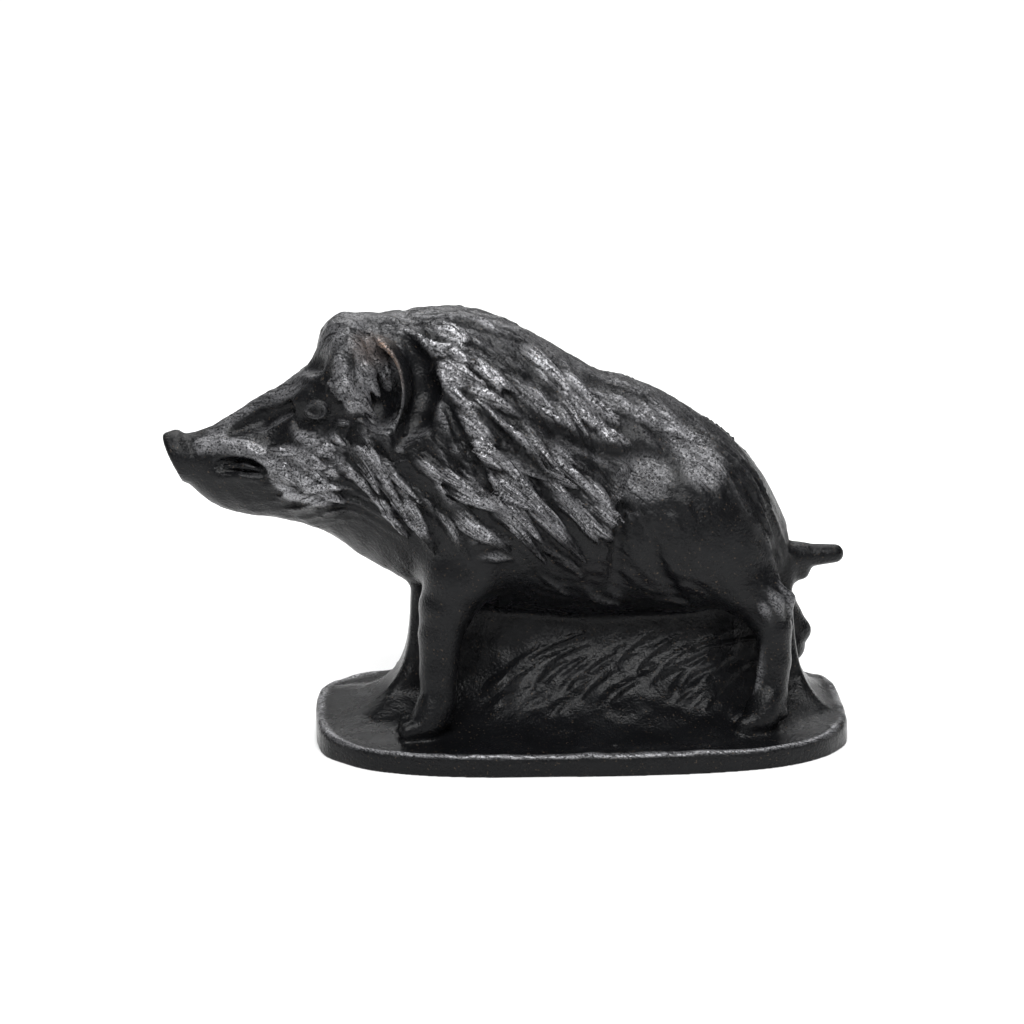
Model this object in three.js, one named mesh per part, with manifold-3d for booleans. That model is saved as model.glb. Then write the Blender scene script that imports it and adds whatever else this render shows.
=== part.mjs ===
// A cast-iron boar that stands with its base as one casting.
// Millimetres, +Z up. The boar faces -X, and the origin is the middle of the base's flat underside.
// The sculpted form is a distance field: soft unions of named masses, with locks of hair raised on it.
// Its zero surface is meshed on a grid, thinned where it is flat, and joined to the base plate.

import * as THREE from "three";
import { mergeVertices } from "three/addons/utils/BufferGeometryUtils.js";
import Module from "manifold-3d";

const { abs, atan2, cos, exp, floor, hypot, max, min, pow, sin, sqrt } = Math;
const { clamp, degToRad, lerp, radToDeg, smoothstep } = THREE.MathUtils;

// Driving dimensions of the base plate
const BASE_LENGTH = 130;
const BASE_WIDTH = 72;
const BASE_EDGE_HEIGHT = 4.9;
const BASE_EDGE_ROUNDING = 1.6;
const BASE_CORNER_POWER = 3.2;
const BASE_SEGMENTS = 56;
const DOME_HEIGHT = 2.4;

// Stations of the head and trunk: x, crest, keel, half width, height of the widest line
const BODY_STATIONS = [
  [-96, 75.8, 65, 5, 71],
  [-90, 77.6, 59.4, 6.4, 69.5],
  [-82, 82.4, 56.2, 8.2, 69],
  [-74, 87.2, 55, 9.6, 69.5],
  [-67, 91.8, 53.4, 11.6, 71],
  [-61, 98.6, 50.8, 13.8, 74],
  [-54, 104, 45.8, 16.4, 75],
  [-44, 105.8, 39.8, 20, 71],
  [-32, 106.6, 34, 23, 66.5],
  [-20, 104, 31.6, 24.2, 64],
  [-8, 97.6, 30.4, 24.2, 61],
  [4, 90.4, 29.8, 23.2, 58],
  [16, 86.8, 30.2, 21.6, 56],
  [28, 79.8, 31.6, 20.2, 53],
  [38, 71.6, 34, 17.4, 51],
  [46, 61, 37.6, 12, 49],
  [50.4, 51.6, 42, 5, 47],
];
const ABOVE_NARROWS = 0.3;
const BELOW_NARROWS = 0.1;

// Legs: stations of x, y, z and radius on the near side, and how far back the far hind leg stands
const FORE_LEG = [
  [-22, -11, 62, 10.5],
  [-30, -14.5, 44, 9.2],
  [-34.6, -16.5, 31, 5.6],
  [-35.6, -18.3, 21, 3.9],
  [-35.6, -19.3, 14, 3.6],
  [-37.2, -20.2, 10.5, 4.6],
];
const HIND_LEG = [
  [30, -9, 52, 12],
  [39.5, -13, 40, 8.2],
  [45.6, -15.5, 31, 4.6],
  [46, -17, 22, 3.9],
  [45.2, -18.3, 14, 3.8],
  [43.4, -19.6, 10.5, 4.6],
];
const FAR_HIND_STEP = 6;
const HOOF_RADII = [5.2, 4.6, 4.2];
const HOOF_HEIGHT = 8.6;

// Ears: the cup's middle, its radii, the wall and the direction it opens to, near side
const EAR_CENTRE = [-51, -13.5, 91];
const EAR_RADII = [9, 9, 11.6];
const EAR_HALF_WALL = 1.1;
const EAR_OPENS = new THREE.Vector3(-0.62, -0.78, -0.02).normalize();

// Wall between the legs, which flares out into the base
const WALL_HALF = 4;
const WALL_FRONT = -41.5;
const WALL_REAR = 53.5;
const FLARE_AT_ENDS = 12;
const FLARE_BETWEEN_LEGS = 25;

// Rows of hair locks, from a first root to a last one, both as x and the angle down from the crest.
// Then the number of locks, their heading down from the tail's direction, length, half width, height.
const LOCK_ROWS = [
  { from: [-57, 14], to: [-57, 62], count: 5, heading: 30, length: 12, half: 2, rise: 1 },
  { from: [-50, 6], to: [-47, 30], count: 4, heading: 12, length: 17, half: 2.2, rise: 1.2 },
  { from: [-38, 4], to: [-40, 84], count: 9, heading: 26, length: 20, half: 2.3, rise: 1.5 },
  { from: [-27, 8], to: [-31, 96], count: 11, heading: 30, length: 21, half: 2.4, rise: 1.6 },
  { from: [-14, 5], to: [-20, 92], count: 11, heading: 31, length: 22, half: 2.4, rise: 1.7 },
  { from: [-1, 6], to: [-8, 84], count: 9, heading: 29, length: 20, half: 2.2, rise: 1.5 },
  { from: [12, 4], to: [6, 52], count: 6, heading: 25, length: 19, half: 2.1, rise: 1.2 },
  { from: [24, 3], to: [19, 30], count: 4, heading: 24, length: 17, half: 1.9, rise: 0.9 },
  { from: [-77, 62], to: [-74, 100], count: 4, heading: 28, length: 15, half: 1.7, rise: 1.3 },
  { from: [-68, 74], to: [-64, 120], count: 5, heading: 38, length: 13, half: 1.8, rise: 1.3 },
  { from: [-57, 84], to: [-52, 128], count: 5, heading: 44, length: 13, half: 2, rise: 1.5 },
  { from: [-46, 88], to: [-42, 122], count: 4, heading: 48, length: 13, half: 2.1, rise: 1.5 },
  { from: [-35, 98], to: [-31, 124], count: 3, heading: 44, length: 13, half: 2, rise: 1.2 },
  { from: [-14, 100], to: [-4, 128], count: 4, heading: 38, length: 14, half: 1.9, rise: 0.9 },
  { from: [-10, 132], to: [14, 136], count: 6, heading: 34, length: 13, half: 1.6, rise: 0.9 },
];
// The long locks behind the ear: x, angle, heading, length, half width, rise, bend
const LONG_LOCKS = [
  [-23, 20, 28, 46, 2.9, 2.4, 0.006],
  [-30, 34, 30, 34, 2.6, 2.2, 0.01],
  [-32, 48, 34, 34, 2.4, 2.2, 0.004],
  [-34, 62, 40, 30, 2.2, 2, 0.006],
];
const LOCK_ROOT_JITTER = 6;
const LOCK_HEADING_JITTER = 14;

// Grass in relief on both faces of the wall
const GRASS_BLADES = 16;
const GRASS_LENGTH = 19;
const GRASS_HALF = 1.3;
const GRASS_RISE = 1.3;
const GRASS_HEADING = 52;
const GRASS_BEND = 0.045;

// The sculpted form's flat foot inside the plate, its grid, and the number of faces that it is thinned to
const SCULPT_FOOT = 2;
const GRID_STEP = 0.8;
const COARSE_CELLS = 4;
const SCULPT_FACES = 8600;
const FILL_PASSES = 8;
const BLOCK_MARGIN = 1.5;
const GRID_FROM = [-103, -36, 1];
const GRID_TO = [69, 36, 111];

// Joins two distances with a fillet of the given radius.
function soften(a, b, radius) {
  const overlap = max(radius - abs(a - b), 0) / radius;
  return min(a, b) - (overlap * overlap * radius) / 4;
}

// Cuts distance b out of distance a, with a rounded edge.
function carve(a, b, radius) {
  return -soften(-a, b, radius);
}

// The distance to an ellipsoid turned by a pitch about Y and a yaw about Z, in degrees.
function ellipsoid([cx, cy, cz], [rx, ry, rz], pitch = 0, yaw = 0) {
  const turn = new THREE.Euler(0, degToRad(pitch), degToRad(yaw), "ZYX");
  const e = new THREE.Matrix4().makeRotationFromEuler(turn).elements;
  return (x, y, z) => {
    const dx = x - cx;
    const dy = y - cy;
    const dz = z - cz;
    const u = (dx * e[0] + dy * e[1] + dz * e[2]) / rx;
    const v = (dx * e[4] + dy * e[5] + dz * e[6]) / ry;
    const w = (dx * e[8] + dy * e[9] + dz * e[10]) / rz;
    const reach = sqrt(u * u + v * v + w * w);
    const slope = sqrt((u / rx) ** 2 + (v / ry) ** 2 + (w / rz) ** 2);
    return (reach * (reach - 1)) / max(slope, 1e-6);
  };
}

// The distance to a chain of round cones through stations of x, y, z and radius.
function limb(stations, softness) {
  const spans = stations.slice(1).map((b, i) => {
    const a = stations[i];
    const axis = [b[0] - a[0], b[1] - a[1], b[2] - a[2]];
    return { a, b, axis, square: axis[0] ** 2 + axis[1] ** 2 + axis[2] ** 2 };
  });
  return (x, y, z) => {
    let distance = 1e3;
    for (const { a, b, axis, square } of spans) {
      const dx = x - a[0];
      const dy = y - a[1];
      const dz = z - a[2];
      const t = clamp((dx * axis[0] + dy * axis[1] + dz * axis[2]) / square, 0, 1);
      const gap = hypot(dx - t * axis[0], dy - t * axis[1], dz - t * axis[2]);
      distance = soften(distance, gap - lerp(a[3], b[3], t), softness);
    }
    return distance;
  };
}

// The distance to a flat round disc with a soft rim, widening towards its front.
function disc(centre, facing, radius, halfThickness, widening) {
  const c = new THREE.Vector3(...centre);
  const n = new THREE.Vector3(...facing).normalize();
  return (x, y, z) => {
    const dx = x - c.x;
    const dy = y - c.y;
    const dz = z - c.z;
    const along = dx * n.x + dy * n.y + dz * n.z;
    const across = sqrt(max(dx * dx + dy * dy + dz * dz - along * along, 0));
    return -soften(radius + widening * along - across, halfThickness - abs(along), 1.4);
  };
}

// Head and trunk, from the stations

const stationValues = BODY_STATIONS.flatMap((row) => row.slice(1));
const stationCurve = new THREE.CubicInterpolant(BODY_STATIONS.map((row) => row[0]), stationValues, 4);
const FIRST_X = BODY_STATIONS[0][0];
const LAST_X = BODY_STATIONS.at(-1)[0];

function sectionAt(x) {
  const [crest, keel, half, wide] = stationCurve.evaluate(clamp(x, FIRST_X, LAST_X));
  return { crest, keel, half, wide };
}

// The section is an egg: an ellipse whose width shrinks towards the crest and, less, the keel.
function trunk(x, y, z) {
  const { crest, keel, half, wide } = sectionAt(x);
  const rise = z - wide;
  const height = rise > 0 ? crest - wide : wide - keel;
  const t = abs(rise) / height;
  const narrows = rise > 0 ? ABOVE_NARROWS : BELOW_NARROWS;
  const width = half * (1 - narrows * min(t, 1) ** 2);
  const rho = hypot(y / width, t);
  const inner = (rho - 1) * min(half, height);
  const distance = rho > 0.3 ? (1 - 1 / rho) * hypot(y, rise) : inner;
  return max(distance, x - LAST_X, FIRST_X - x);
}

// Hair: each lock is a curved ridge that runs to a point, and the highest one shows

function noise(n) {
  const v = sin(n * 12.9898) * 43758.5453;
  return v - floor(v);
}

function lockRows() {
  let n = 0;
  return LOCK_ROWS.flatMap((row) =>
    Array.from({ length: row.count }, (_, i) => {
      n += 1;
      const q = (i + 0.5 + 0.5 * (noise(n) - 0.5)) / row.count;
      return {
        x: lerp(row.from[0], row.to[0], q) + LOCK_ROOT_JITTER * (noise(n + 0.13) - 0.5),
        angle: degToRad(lerp(row.from[1], row.to[1], q)),
        heading: degToRad(row.heading + LOCK_HEADING_JITTER * (noise(n + 0.31) - 0.5)),
        length: row.length * (0.75 + 0.5 * noise(n + 0.57)),
        half: row.half * (0.8 + 0.4 * noise(n + 0.83)),
        rise: row.rise * (0.75 + 0.5 * noise(n + 0.71)),
        bend: 0.03 * (noise(n + 0.57) - 0.5),
      };
    }),
  );
}

function longLocks() {
  return LONG_LOCKS.map(([x, angle, heading, length, half, rise, bend]) => {
    return { x, angle: degToRad(angle), heading: degToRad(heading), length, half, rise, bend };
  });
}

const LOCKS = [...lockRows(), ...longLocks()].map((lock) => {
  return { ...lock, c: cos(lock.heading), s: sin(lock.heading) };
});

// The height of a ridge that starts low, is widest early and ends in a point.
function ridge(along, across, length, half, rise) {
  const q = along / length;
  if (q <= 0 || q >= 1) return 0;
  const width = half * sqrt(min(q / 0.22, 1)) * pow(1 - q, 0.55);
  const t = across / width;
  if (abs(t) >= 1) return 0;
  const profile = t > 0 ? sqrt(1 - t * t) : 1 - t * t;
  return rise * profile * smoothstep(q, 0, 0.3) * (1 - 0.35 * q);
}

function hair(x, y, z) {
  const rise = z - sectionAt(x).wide;
  const angle = atan2(abs(y), rise);
  const radius = hypot(y, rise);
  let height = 0;
  for (const lock of LOCKS) {
    const dx = x - lock.x;
    if (dx < -lock.half || dx > lock.length) continue;
    const girth = (angle - lock.angle) * radius;
    const along = dx * lock.c + girth * lock.s;
    const across = -dx * lock.s + girth * lock.c - 0.5 * lock.bend * along * along;
    height = max(height, ridge(along, across, lock.length, lock.half, lock.rise));
  }
  return height;
}

// Masses that are blended onto the trunk on both sides, each with its fillet
const MASSES = [
  [ellipsoid([-20, -12.5, 64], [15, 11.5, 22], -14), 6],
  [ellipsoid([26, -9.5, 54], [18, 13, 20]), 6],
  [ellipsoid([-60, -8, 70], [13, 7.5, 11]), 4],
  [ellipsoid([-63, -7.8, 88.5], [5, 4.2, 3.2], -20), 3],
  [ellipsoid([-55.5, 0, 97], [7.4, 9, 8]), 3],
];

// Face: what is cut in and what is laid on, as a field, a fillet and the direction
const EYE_CENTRE = new THREE.Vector3(-63.9, -11.4, 84.6);
const EYE_FACING = new THREE.Vector3(-0.35, -0.92, 0.15).normalize();
const EYE_SOCKET = 2.6;
const EYE_LID = 2.9;
const EYE_LID_HALF = 0.75;
const noseGroove = limb([[-85, -9.4, 78.4, 1.6], [-77, -11.2, 82.6, 2.4], [-71, -12.2, 85.6, 1.8]], 1);
const upperLip = limb([[-91, -5.6, 73.6, 1.8], [-84, -7.6, 74.4, 2], [-77, -9.4, 75, 1.6]], 1);
const lowerLip = limb([[-90, -5.6, 67, 1.4], [-82, -8.2, 66.6, 1.5], [-76, -9.2, 67.2, 1.2]], 1);
const mouth = ellipsoid([-82.6, -9, 69.8], [6.6, 3.4, 1.9], 2, 8);
const eyeball = ellipsoid([-63.9, -10.5, 84.6], [2.1, 2.1, 2.1]);
const snoutDisc = disc([-96.6, 0, 71.2], [-0.9, 0, -0.43], 6.1, 2.2, 0.14);

function eyeLid(x, y, z) {
  const dx = x - EYE_CENTRE.x;
  const dy = y - EYE_CENTRE.y;
  const dz = z - EYE_CENTRE.z;
  const along = dx * EYE_FACING.x + dy * EYE_FACING.y + dz * EYE_FACING.z;
  const square = dx * dx + dy * dy + dz * dz;
  const across = sqrt(max(square - along * along, 0));
  return { socket: sqrt(square) - EYE_SOCKET, lid: hypot(across - EYE_LID, along) - EYE_LID_HALF };
}

function face(distance, x, y, z) {
  const { socket, lid } = eyeLid(x, y, z);
  let d = carve(distance, noseGroove(x, y, z), 2.4);
  d = soften(d, upperLip(x, y, z), 2);
  d = soften(d, lowerLip(x, y, z), 1.6);
  d = carve(d, mouth(x, y, z), 1);
  d = carve(d, socket, 0.8);
  d = soften(d, eyeball(x, y, z), 0.3);
  return soften(d, lid, 0.8);
}

// Ears: a cup open forwards and outwards, with a deep gap behind its rim
const earShell = ellipsoid(EAR_CENTRE, EAR_RADII);
const earHollow = ellipsoid([-53.2, -16.8, 91], [8.6, 8.6, 10.4]);
const gapBehindEar = ellipsoid([-39.2, -18.5, 90], [3.2, 9, 11], 6, -8);

function ear(distance, x, y, z) {
  const front =
    (x - EAR_CENTRE[0]) * EAR_OPENS.x + (y - EAR_CENTRE[1]) * EAR_OPENS.y + (z - EAR_CENTRE[2]) * EAR_OPENS.z - 1;
  const shell = -soften(EAR_HALF_WALL - abs(earShell(x, y, z)), -front, 1);
  const gapped = carve(distance, gapBehindEar(x, y, z), 2.5);
  return carve(soften(gapped, shell, 1.5), earHollow(x, y, z), 1.2);
}

// Legs: the far hind leg stands further back, with a pointed hock
const shiftedBack = HIND_LEG.map(([x, y, z, r], i) => [x + FAR_HIND_STEP * min(max(i - 1, 0), 1), y, z, r]);
const foreLeg = limb(FORE_LEG, 2.5);
const nearHindLeg = limb(HIND_LEG, 2.5);
const farHindLeg = limb(shiftedBack, 2.5);
const foreHoof = ellipsoid([-38.6, -20.8, HOOF_HEIGHT], HOOF_RADII);
const nearHindHoof = ellipsoid([42.6, -20.2, HOOF_HEIGHT], HOOF_RADII);
const farHindHoof = ellipsoid([42.6 + FAR_HIND_STEP, -20.2, HOOF_HEIGHT], HOOF_RADII);
const farHock = ellipsoid([55.2, -16.5, 18.6], [4, 3.4, 3.4]);

function legs(x, y, z) {
  const mirrored = -abs(y);
  const fore = soften(foreLeg(x, mirrored, z), foreHoof(x, mirrored, z), 1.5);
  const near = soften(nearHindLeg(x, mirrored, z), nearHindHoof(x, mirrored, z), 1.5);
  const far = soften(farHindLeg(x, mirrored, z), farHindHoof(x, mirrored, z), 1.5);
  const hind = y < 0 ? near : soften(far, farHock(x, mirrored, z), 2);
  return min(fore, hind);
}

const tail = limb([[46, 0, 43.5, 5], [53, 0, 43.6, 3.4], [62.6, 0, 44.2, 1.8]], 2);
const tailTuft = limb([[48, 0, 39, 3.4], [53, 0, 38.4, 2]], 2);

// The ground: a wall under the belly that spreads into the base, with blades of grass bent one way

function grass(x, z) {
  let height = 0;
  for (let i = 0; i < GRASS_BLADES; i += 1) {
    const heading = degToRad(GRASS_HEADING + 16 * (noise(i + 60.3) - 0.5));
    const dx = x - lerp(-27, 29, (i + 0.5) / GRASS_BLADES);
    const dz = z - (9 + 8 * noise(i + 50.7));
    const along = dx * cos(heading) + dz * sin(heading);
    const across = dx * sin(heading) - dz * cos(heading);
    const bent = across - 0.5 * GRASS_BEND * along * along;
    const length = GRASS_LENGTH * (0.7 + 0.6 * noise(i + 70.9));
    height = max(height, ridge(along, bent, length, GRASS_HALF, GRASS_RISE));
  }
  return height;
}

function ground(x, y, z) {
  const h = max(z - 6, 0);
  const between = smoothstep(x, -30, -18) * smoothstep(42 - x, 0, 10);
  const reach = lerp(FLARE_AT_ENDS, FLARE_BETWEEN_LEGS, between);
  const fall = lerp(4.5, 10, between);
  const spread = reach * exp(-h / fall);
  const sides = (abs(y) - WALL_HALF - spread) / hypot(1, spread / fall) - grass(x, z);
  const frontSpread = 18 * exp(-h / 6);
  const rearSpread = 9 * exp(-h / 5);
  const front = (WALL_FRONT - frontSpread - x) / hypot(1, frontSpread / 6);
  const rear = (x - WALL_REAR - rearSpread + 0.06 * h) / hypot(1, rearSpread / 6);
  return max(-soften(-front, soften(-rear, -sides, 2), 2), z - 45);
}

// The domed top of the base, kept just inside the plate's edge.
function dome(x, y, z) {
  const u = pow(abs(x) / (BASE_LENGTH / 2 - 1), BASE_CORNER_POWER);
  const v = pow(abs(y) / (BASE_WIDTH / 2 - 1), BASE_CORNER_POWER);
  const rho = pow(u + v, 1 / BASE_CORNER_POWER);
  const side = (1 - 1 / max(rho, 0.05)) * hypot(x, y);
  const top = z - BASE_EDGE_HEIGHT - DOME_HEIGHT * (1 - rho);
  return max(side, top);
}

function sculpture(x, y, z) {
  const mirrored = -abs(y);
  let d = trunk(x, y, z);
  for (const [mass, fillet] of MASSES) d = soften(d, mass(x, mirrored, z), fillet);
  d -= abs(d) < 4 ? hair(x, y, z) : 0;
  d = soften(d, legs(x, y, z), 4);
  d = soften(d, snoutDisc(x, y, z), 2);
  d = face(d, x, mirrored, z);
  d = ear(d, x, mirrored, z);
  d = soften(d, tail(x, y, z), 2);
  d = soften(d, tailTuft(x, y, z), 2);
  return max(soften(d, soften(ground(x, y, z), dome(x, y, z), 3), 1.6), SCULPT_FOOT - z);
}

// Meshing: values on a grid, worked out only near the surface

function sampleGrid(field) {
  const block = GRID_STEP * COARSE_CELLS;
  const blocks = GRID_TO.map((to, i) => Math.ceil((to - GRID_FROM[i]) / block));
  const size = blocks.map((n) => n * COARSE_CELLS + 1);
  const values = new Float32Array(size[0] * size[1] * size[2]);
  const at = (i, j, k) => (i * size[1] + j) * size[2] + k;
  const value = (i, j, k) =>
    field(GRID_FROM[0] + i * GRID_STEP, GRID_FROM[1] + j * GRID_STEP, GRID_FROM[2] + k * GRID_STEP);
  const eachIn = (origin, visit) => {
    for (let i = 0; i <= COARSE_CELLS; i += 1)
      for (let j = 0; j <= COARSE_CELLS; j += 1)
        for (let k = 0; k <= COARSE_CELLS; k += 1) visit(origin[0] + i, origin[1] + j, origin[2] + k);
  };
  const done = new Uint8Array(values.length);
  for (let a = 0; a < blocks[0]; a += 1)
    for (let b = 0; b < blocks[1]; b += 1)
      for (let c = 0; c < blocks[2]; c += 1) {
        const origin = [a * COARSE_CELLS, b * COARSE_CELLS, c * COARSE_CELLS];
        const half = COARSE_CELLS / 2;
        const middle = value(origin[0] + half, origin[1] + half, origin[2] + half);
        const near = abs(middle) < block * BLOCK_MARGIN;
        eachIn(origin, (i, j, k) => {
          const n = at(i, j, k);
          if (done[n]) return;
          values[n] = near ? value(i, j, k) : Math.sign(middle) * block;
          done[n] = near ? 1 : 0;
        });
      }
  return { size, values, at };
}

// A grid square whose corners change side all round would pinch the surface, so it is filled.
// Each turn only adds material, so repeated passes come to an end.
function fillPinches({ size, values, at }) {
  const step = [at(1, 0, 0), at(0, 1, 0), 1];
  let turned = 0;
  for (let i = 0; i < size[0] - 1; i += 1)
    for (let j = 0; j < size[1] - 1; j += 1)
      for (let k = 0; k < size[2] - 1; k += 1)
        for (let m = 0; m < 3; m += 1) {
          const a = at(i, j, k);
          const b = a + step[m];
          const c = b + step[(m + 1) % 3];
          const d = a + step[(m + 1) % 3];
          const inside = values[a] < 0;
          if (inside !== values[c] < 0 || inside === values[b] < 0 || inside === values[d] < 0) continue;
          const [p, q] = inside ? [b, d] : [a, c];
          values[values[p] < values[q] ? p : q] = -1e-3;
          turned += 1;
        }
  return turned;
}

// Surface nets: one vertex in each cell that the surface crosses, one quad across each crossed edge.
function surfaceNets({ size, values, at }) {
  const corners = [0, 1, 2, 3, 4, 5, 6, 7].map((n) => [n & 1, (n >> 1) & 1, n >> 2]);
  const edges = corners.flatMap((a, i) =>
    corners.map((b, j) => [i, j]).filter(([p, q]) => p < q && [1, 2, 4].includes(p ^ q)),
  );
  const vertexOf = new Int32Array(values.length).fill(-1);
  const points = [];
  for (let i = 0; i < size[0] - 1; i += 1)
    for (let j = 0; j < size[1] - 1; j += 1)
      for (let k = 0; k < size[2] - 1; k += 1) {
        const here = corners.map(([a, b, c]) => values[at(i + a, j + b, k + c)]);
        const inside = here.filter((v) => v < 0).length;
        if (inside === 0 || inside === 8) continue;
        const sum = [0, 0, 0];
        let crossings = 0;
        for (const [p, q] of edges) {
          if (here[p] < 0 === here[q] < 0) continue;
          const t = here[p] / (here[p] - here[q]);
          for (let m = 0; m < 3; m += 1) sum[m] += lerp(corners[p][m], corners[q][m], t);
          crossings += 1;
        }
        vertexOf[at(i, j, k)] = points.length;
        points.push([i, j, k].map((n, m) => GRID_FROM[m] + GRID_STEP * (n + sum[m] / crossings)));
      }
  const faces = [];
  const step = [at(1, 0, 0), at(0, 1, 0), 1];
  for (let i = 1; i < size[0] - 1; i += 1)
    for (let j = 1; j < size[1] - 1; j += 1)
      for (let k = 1; k < size[2] - 1; k += 1) {
        const n = at(i, j, k);
        for (let m = 0; m < 3; m += 1) {
          const inside = values[n] < 0;
          if (inside === values[n + step[m]] < 0) continue;
          const u = step[(m + 1) % 3];
          const v = step[(m + 2) % 3];
          const [a, b, c, d] = [n - u - v, n - v, n, n - u].map((cell) => vertexOf[cell]);
          if (inside) faces.push([a, b, c], [a, c, d]);
          else faces.push([a, c, b], [a, d, c]);
        }
      }
  return { points, faces };
}

// Thinning: edges collapse in order of the error they make, measured by each vertex's face planes

function planeOf(points, [a, b, c]) {
  const p = points[a];
  const u = points[b].map((v, i) => v - p[i]);
  const w = points[c].map((v, i) => v - p[i]);
  const n = [u[1] * w[2] - u[2] * w[1], u[2] * w[0] - u[0] * w[2], u[0] * w[1] - u[1] * w[0]];
  const twice = hypot(...n);
  const [x, y, z] = n.map((v) => v / max(twice, 1e-12));
  return { x, y, z, w: -(x * p[0] + y * p[1] + z * p[2]), area: twice / 2 };
}

function addPlane(q, { x, y, z, w, area }) {
  const terms = [x * x, x * y, x * z, x * w, y * y, y * z, y * w, z * z, z * w, w * w];
  for (let i = 0; i < 10; i += 1) q[i] += area * terms[i];
}

function planeError(q, [x, y, z]) {
  const squares = q[0] * x * x + q[4] * y * y + q[7] * z * z + q[9];
  return squares + 2 * (q[1] * x * y + q[2] * x * z + q[3] * x + q[5] * y * z + q[6] * y + q[8] * z);
}

// The point where the summed plane error is least, or the middle of the edge where that is unsure.
function bestPoint(q, a, b) {
  const middle = a.map((v, i) => (v + b[i]) / 2);
  const c00 = q[4] * q[7] - q[5] * q[5];
  const c01 = q[2] * q[5] - q[1] * q[7];
  const c02 = q[1] * q[5] - q[2] * q[4];
  const det = q[0] * c00 + q[1] * c01 + q[2] * c02;
  if (abs(det) < 1e-4) return middle;
  const c11 = q[0] * q[7] - q[2] * q[2];
  const c12 = q[1] * q[2] - q[0] * q[5];
  const c22 = q[0] * q[4] - q[1] * q[1];
  const point = [
    -(c00 * q[3] + c01 * q[6] + c02 * q[8]) / det,
    -(c01 * q[3] + c11 * q[6] + c12 * q[8]) / det,
    -(c02 * q[3] + c12 * q[6] + c22 * q[8]) / det,
  ];
  const span = hypot(a[0] - b[0], a[1] - b[1], a[2] - b[2]);
  const stray = hypot(point[0] - middle[0], point[1] - middle[1], point[2] - middle[2]);
  return stray < 2 * span ? point : middle;
}

class Queue {
  items = [];

  push(item) {
    const { items } = this;
    let n = items.push(item) - 1;
    while (n > 0) {
      const parent = (n - 1) >> 1;
      if (items[parent].error <= item.error) break;
      items[n] = items[parent];
      n = parent;
    }
    items[n] = item;
  }

  pop() {
    const { items } = this;
    const first = items[0];
    const last = items.pop();
    const count = items.length;
    if (count === 0) return first;
    let n = 0;
    for (;;) {
      let child = 2 * n + 1;
      if (child >= count) break;
      if (child + 1 < count && items[child + 1].error < items[child].error) child += 1;
      if (items[child].error >= last.error) break;
      items[n] = items[child];
      n = child;
    }
    items[n] = last;
    return first;
  }
}

function thin({ points, faces }, target) {
  const quadrics = points.map(() => new Float64Array(10));
  const facesOf = points.map(() => new Set());
  const version = new Uint32Array(points.length);
  const queue = new Queue();
  faces.forEach((face, i) => {
    const plane = planeOf(points, face);
    for (const v of face) {
      addPlane(quadrics[v], plane);
      facesOf[v].add(i);
    }
  });

  const neighbours = (v) => {
    const found = new Set();
    for (const i of facesOf[v]) for (const w of faces[i]) found.add(w);
    found.delete(v);
    return found;
  };

  const offer = (a, b) => {
    const sum = quadrics[a].map((v, i) => v + quadrics[b][i]);
    const point = bestPoint(sum, points[a], points[b]);
    const span = hypot(...point.map((v, i) => v - points[a][i]));
    const error = abs(planeError(sum, point)) + 1e-4 * span;
    queue.push({ error, a, b, point, sum, stamp: version[a] + version[b] });
  };

  // A collapse is refused where it would turn a face over or pinch the surface.
  const allowed = ({ a, b, point }) => {
    const around = neighbours(a);
    let shared = 0;
    for (const v of neighbours(b)) if (around.has(v)) shared += 1;
    if (shared !== 2) return false;
    for (const [moved, other] of [[a, b], [b, a]])
      for (const i of facesOf[moved]) {
        if (faces[i].includes(other)) continue;
        const before = planeOf(points, faces[i]);
        const kept = points[moved];
        points[moved] = point;
        const after = planeOf(points, faces[i]);
        points[moved] = kept;
        if (after.area < 1e-3 || before.x * after.x + before.y * after.y + before.z * after.z < 0.25) return false;
      }
    return true;
  };

  faces.forEach(([a, b, c]) => {
    if (a < b) offer(a, b);
    if (b < c) offer(b, c);
    if (c < a) offer(c, a);
  });
  let left = faces.length;
  while (left > target && queue.items.length) {
    const edge = queue.pop();
    const { a, b, point, sum, stamp } = edge;
    const gone = !facesOf[a].size || !facesOf[b].size;
    if (gone || stamp !== version[a] + version[b] || !allowed(edge)) continue;
    points[a] = point;
    quadrics[a] = sum;
    for (const i of facesOf[b]) {
      const face = faces[i];
      if (face.includes(a)) {
        for (const v of face) if (v !== b) facesOf[v].delete(i);
        faces[i] = null;
        left -= 1;
      } else {
        face[face.indexOf(b)] = a;
        facesOf[a].add(i);
      }
    }
    facesOf[b].clear();
    version[a] += 1;
    version[b] += 1;
    for (const v of neighbours(a)) offer(a, v);
  }
  return { points, faces: faces.filter(Boolean) };
}

// The solids

const wasm = await Module();
wasm.setup();

function solidFrom(geometry) {
  geometry.deleteAttribute("normal");
  geometry.deleteAttribute("uv");
  const merged = mergeVertices(geometry, 1e-4);
  return new wasm.Manifold(
    new wasm.Mesh({
      numProp: 3,
      vertProperties: merged.attributes.position.array,
      triVerts: new Uint32Array(merged.index.array),
    }),
  );
}

function geometryFrom(solid) {
  const { vertProperties, triVerts } = solid.getMesh();
  const geometry = new THREE.BufferGeometry();
  geometry.setAttribute("position", new THREE.BufferAttribute(vertProperties, 3));
  geometry.setIndex(new THREE.BufferAttribute(triVerts, 1));
  geometry.computeVertexNormals();
  return geometry;
}

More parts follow.
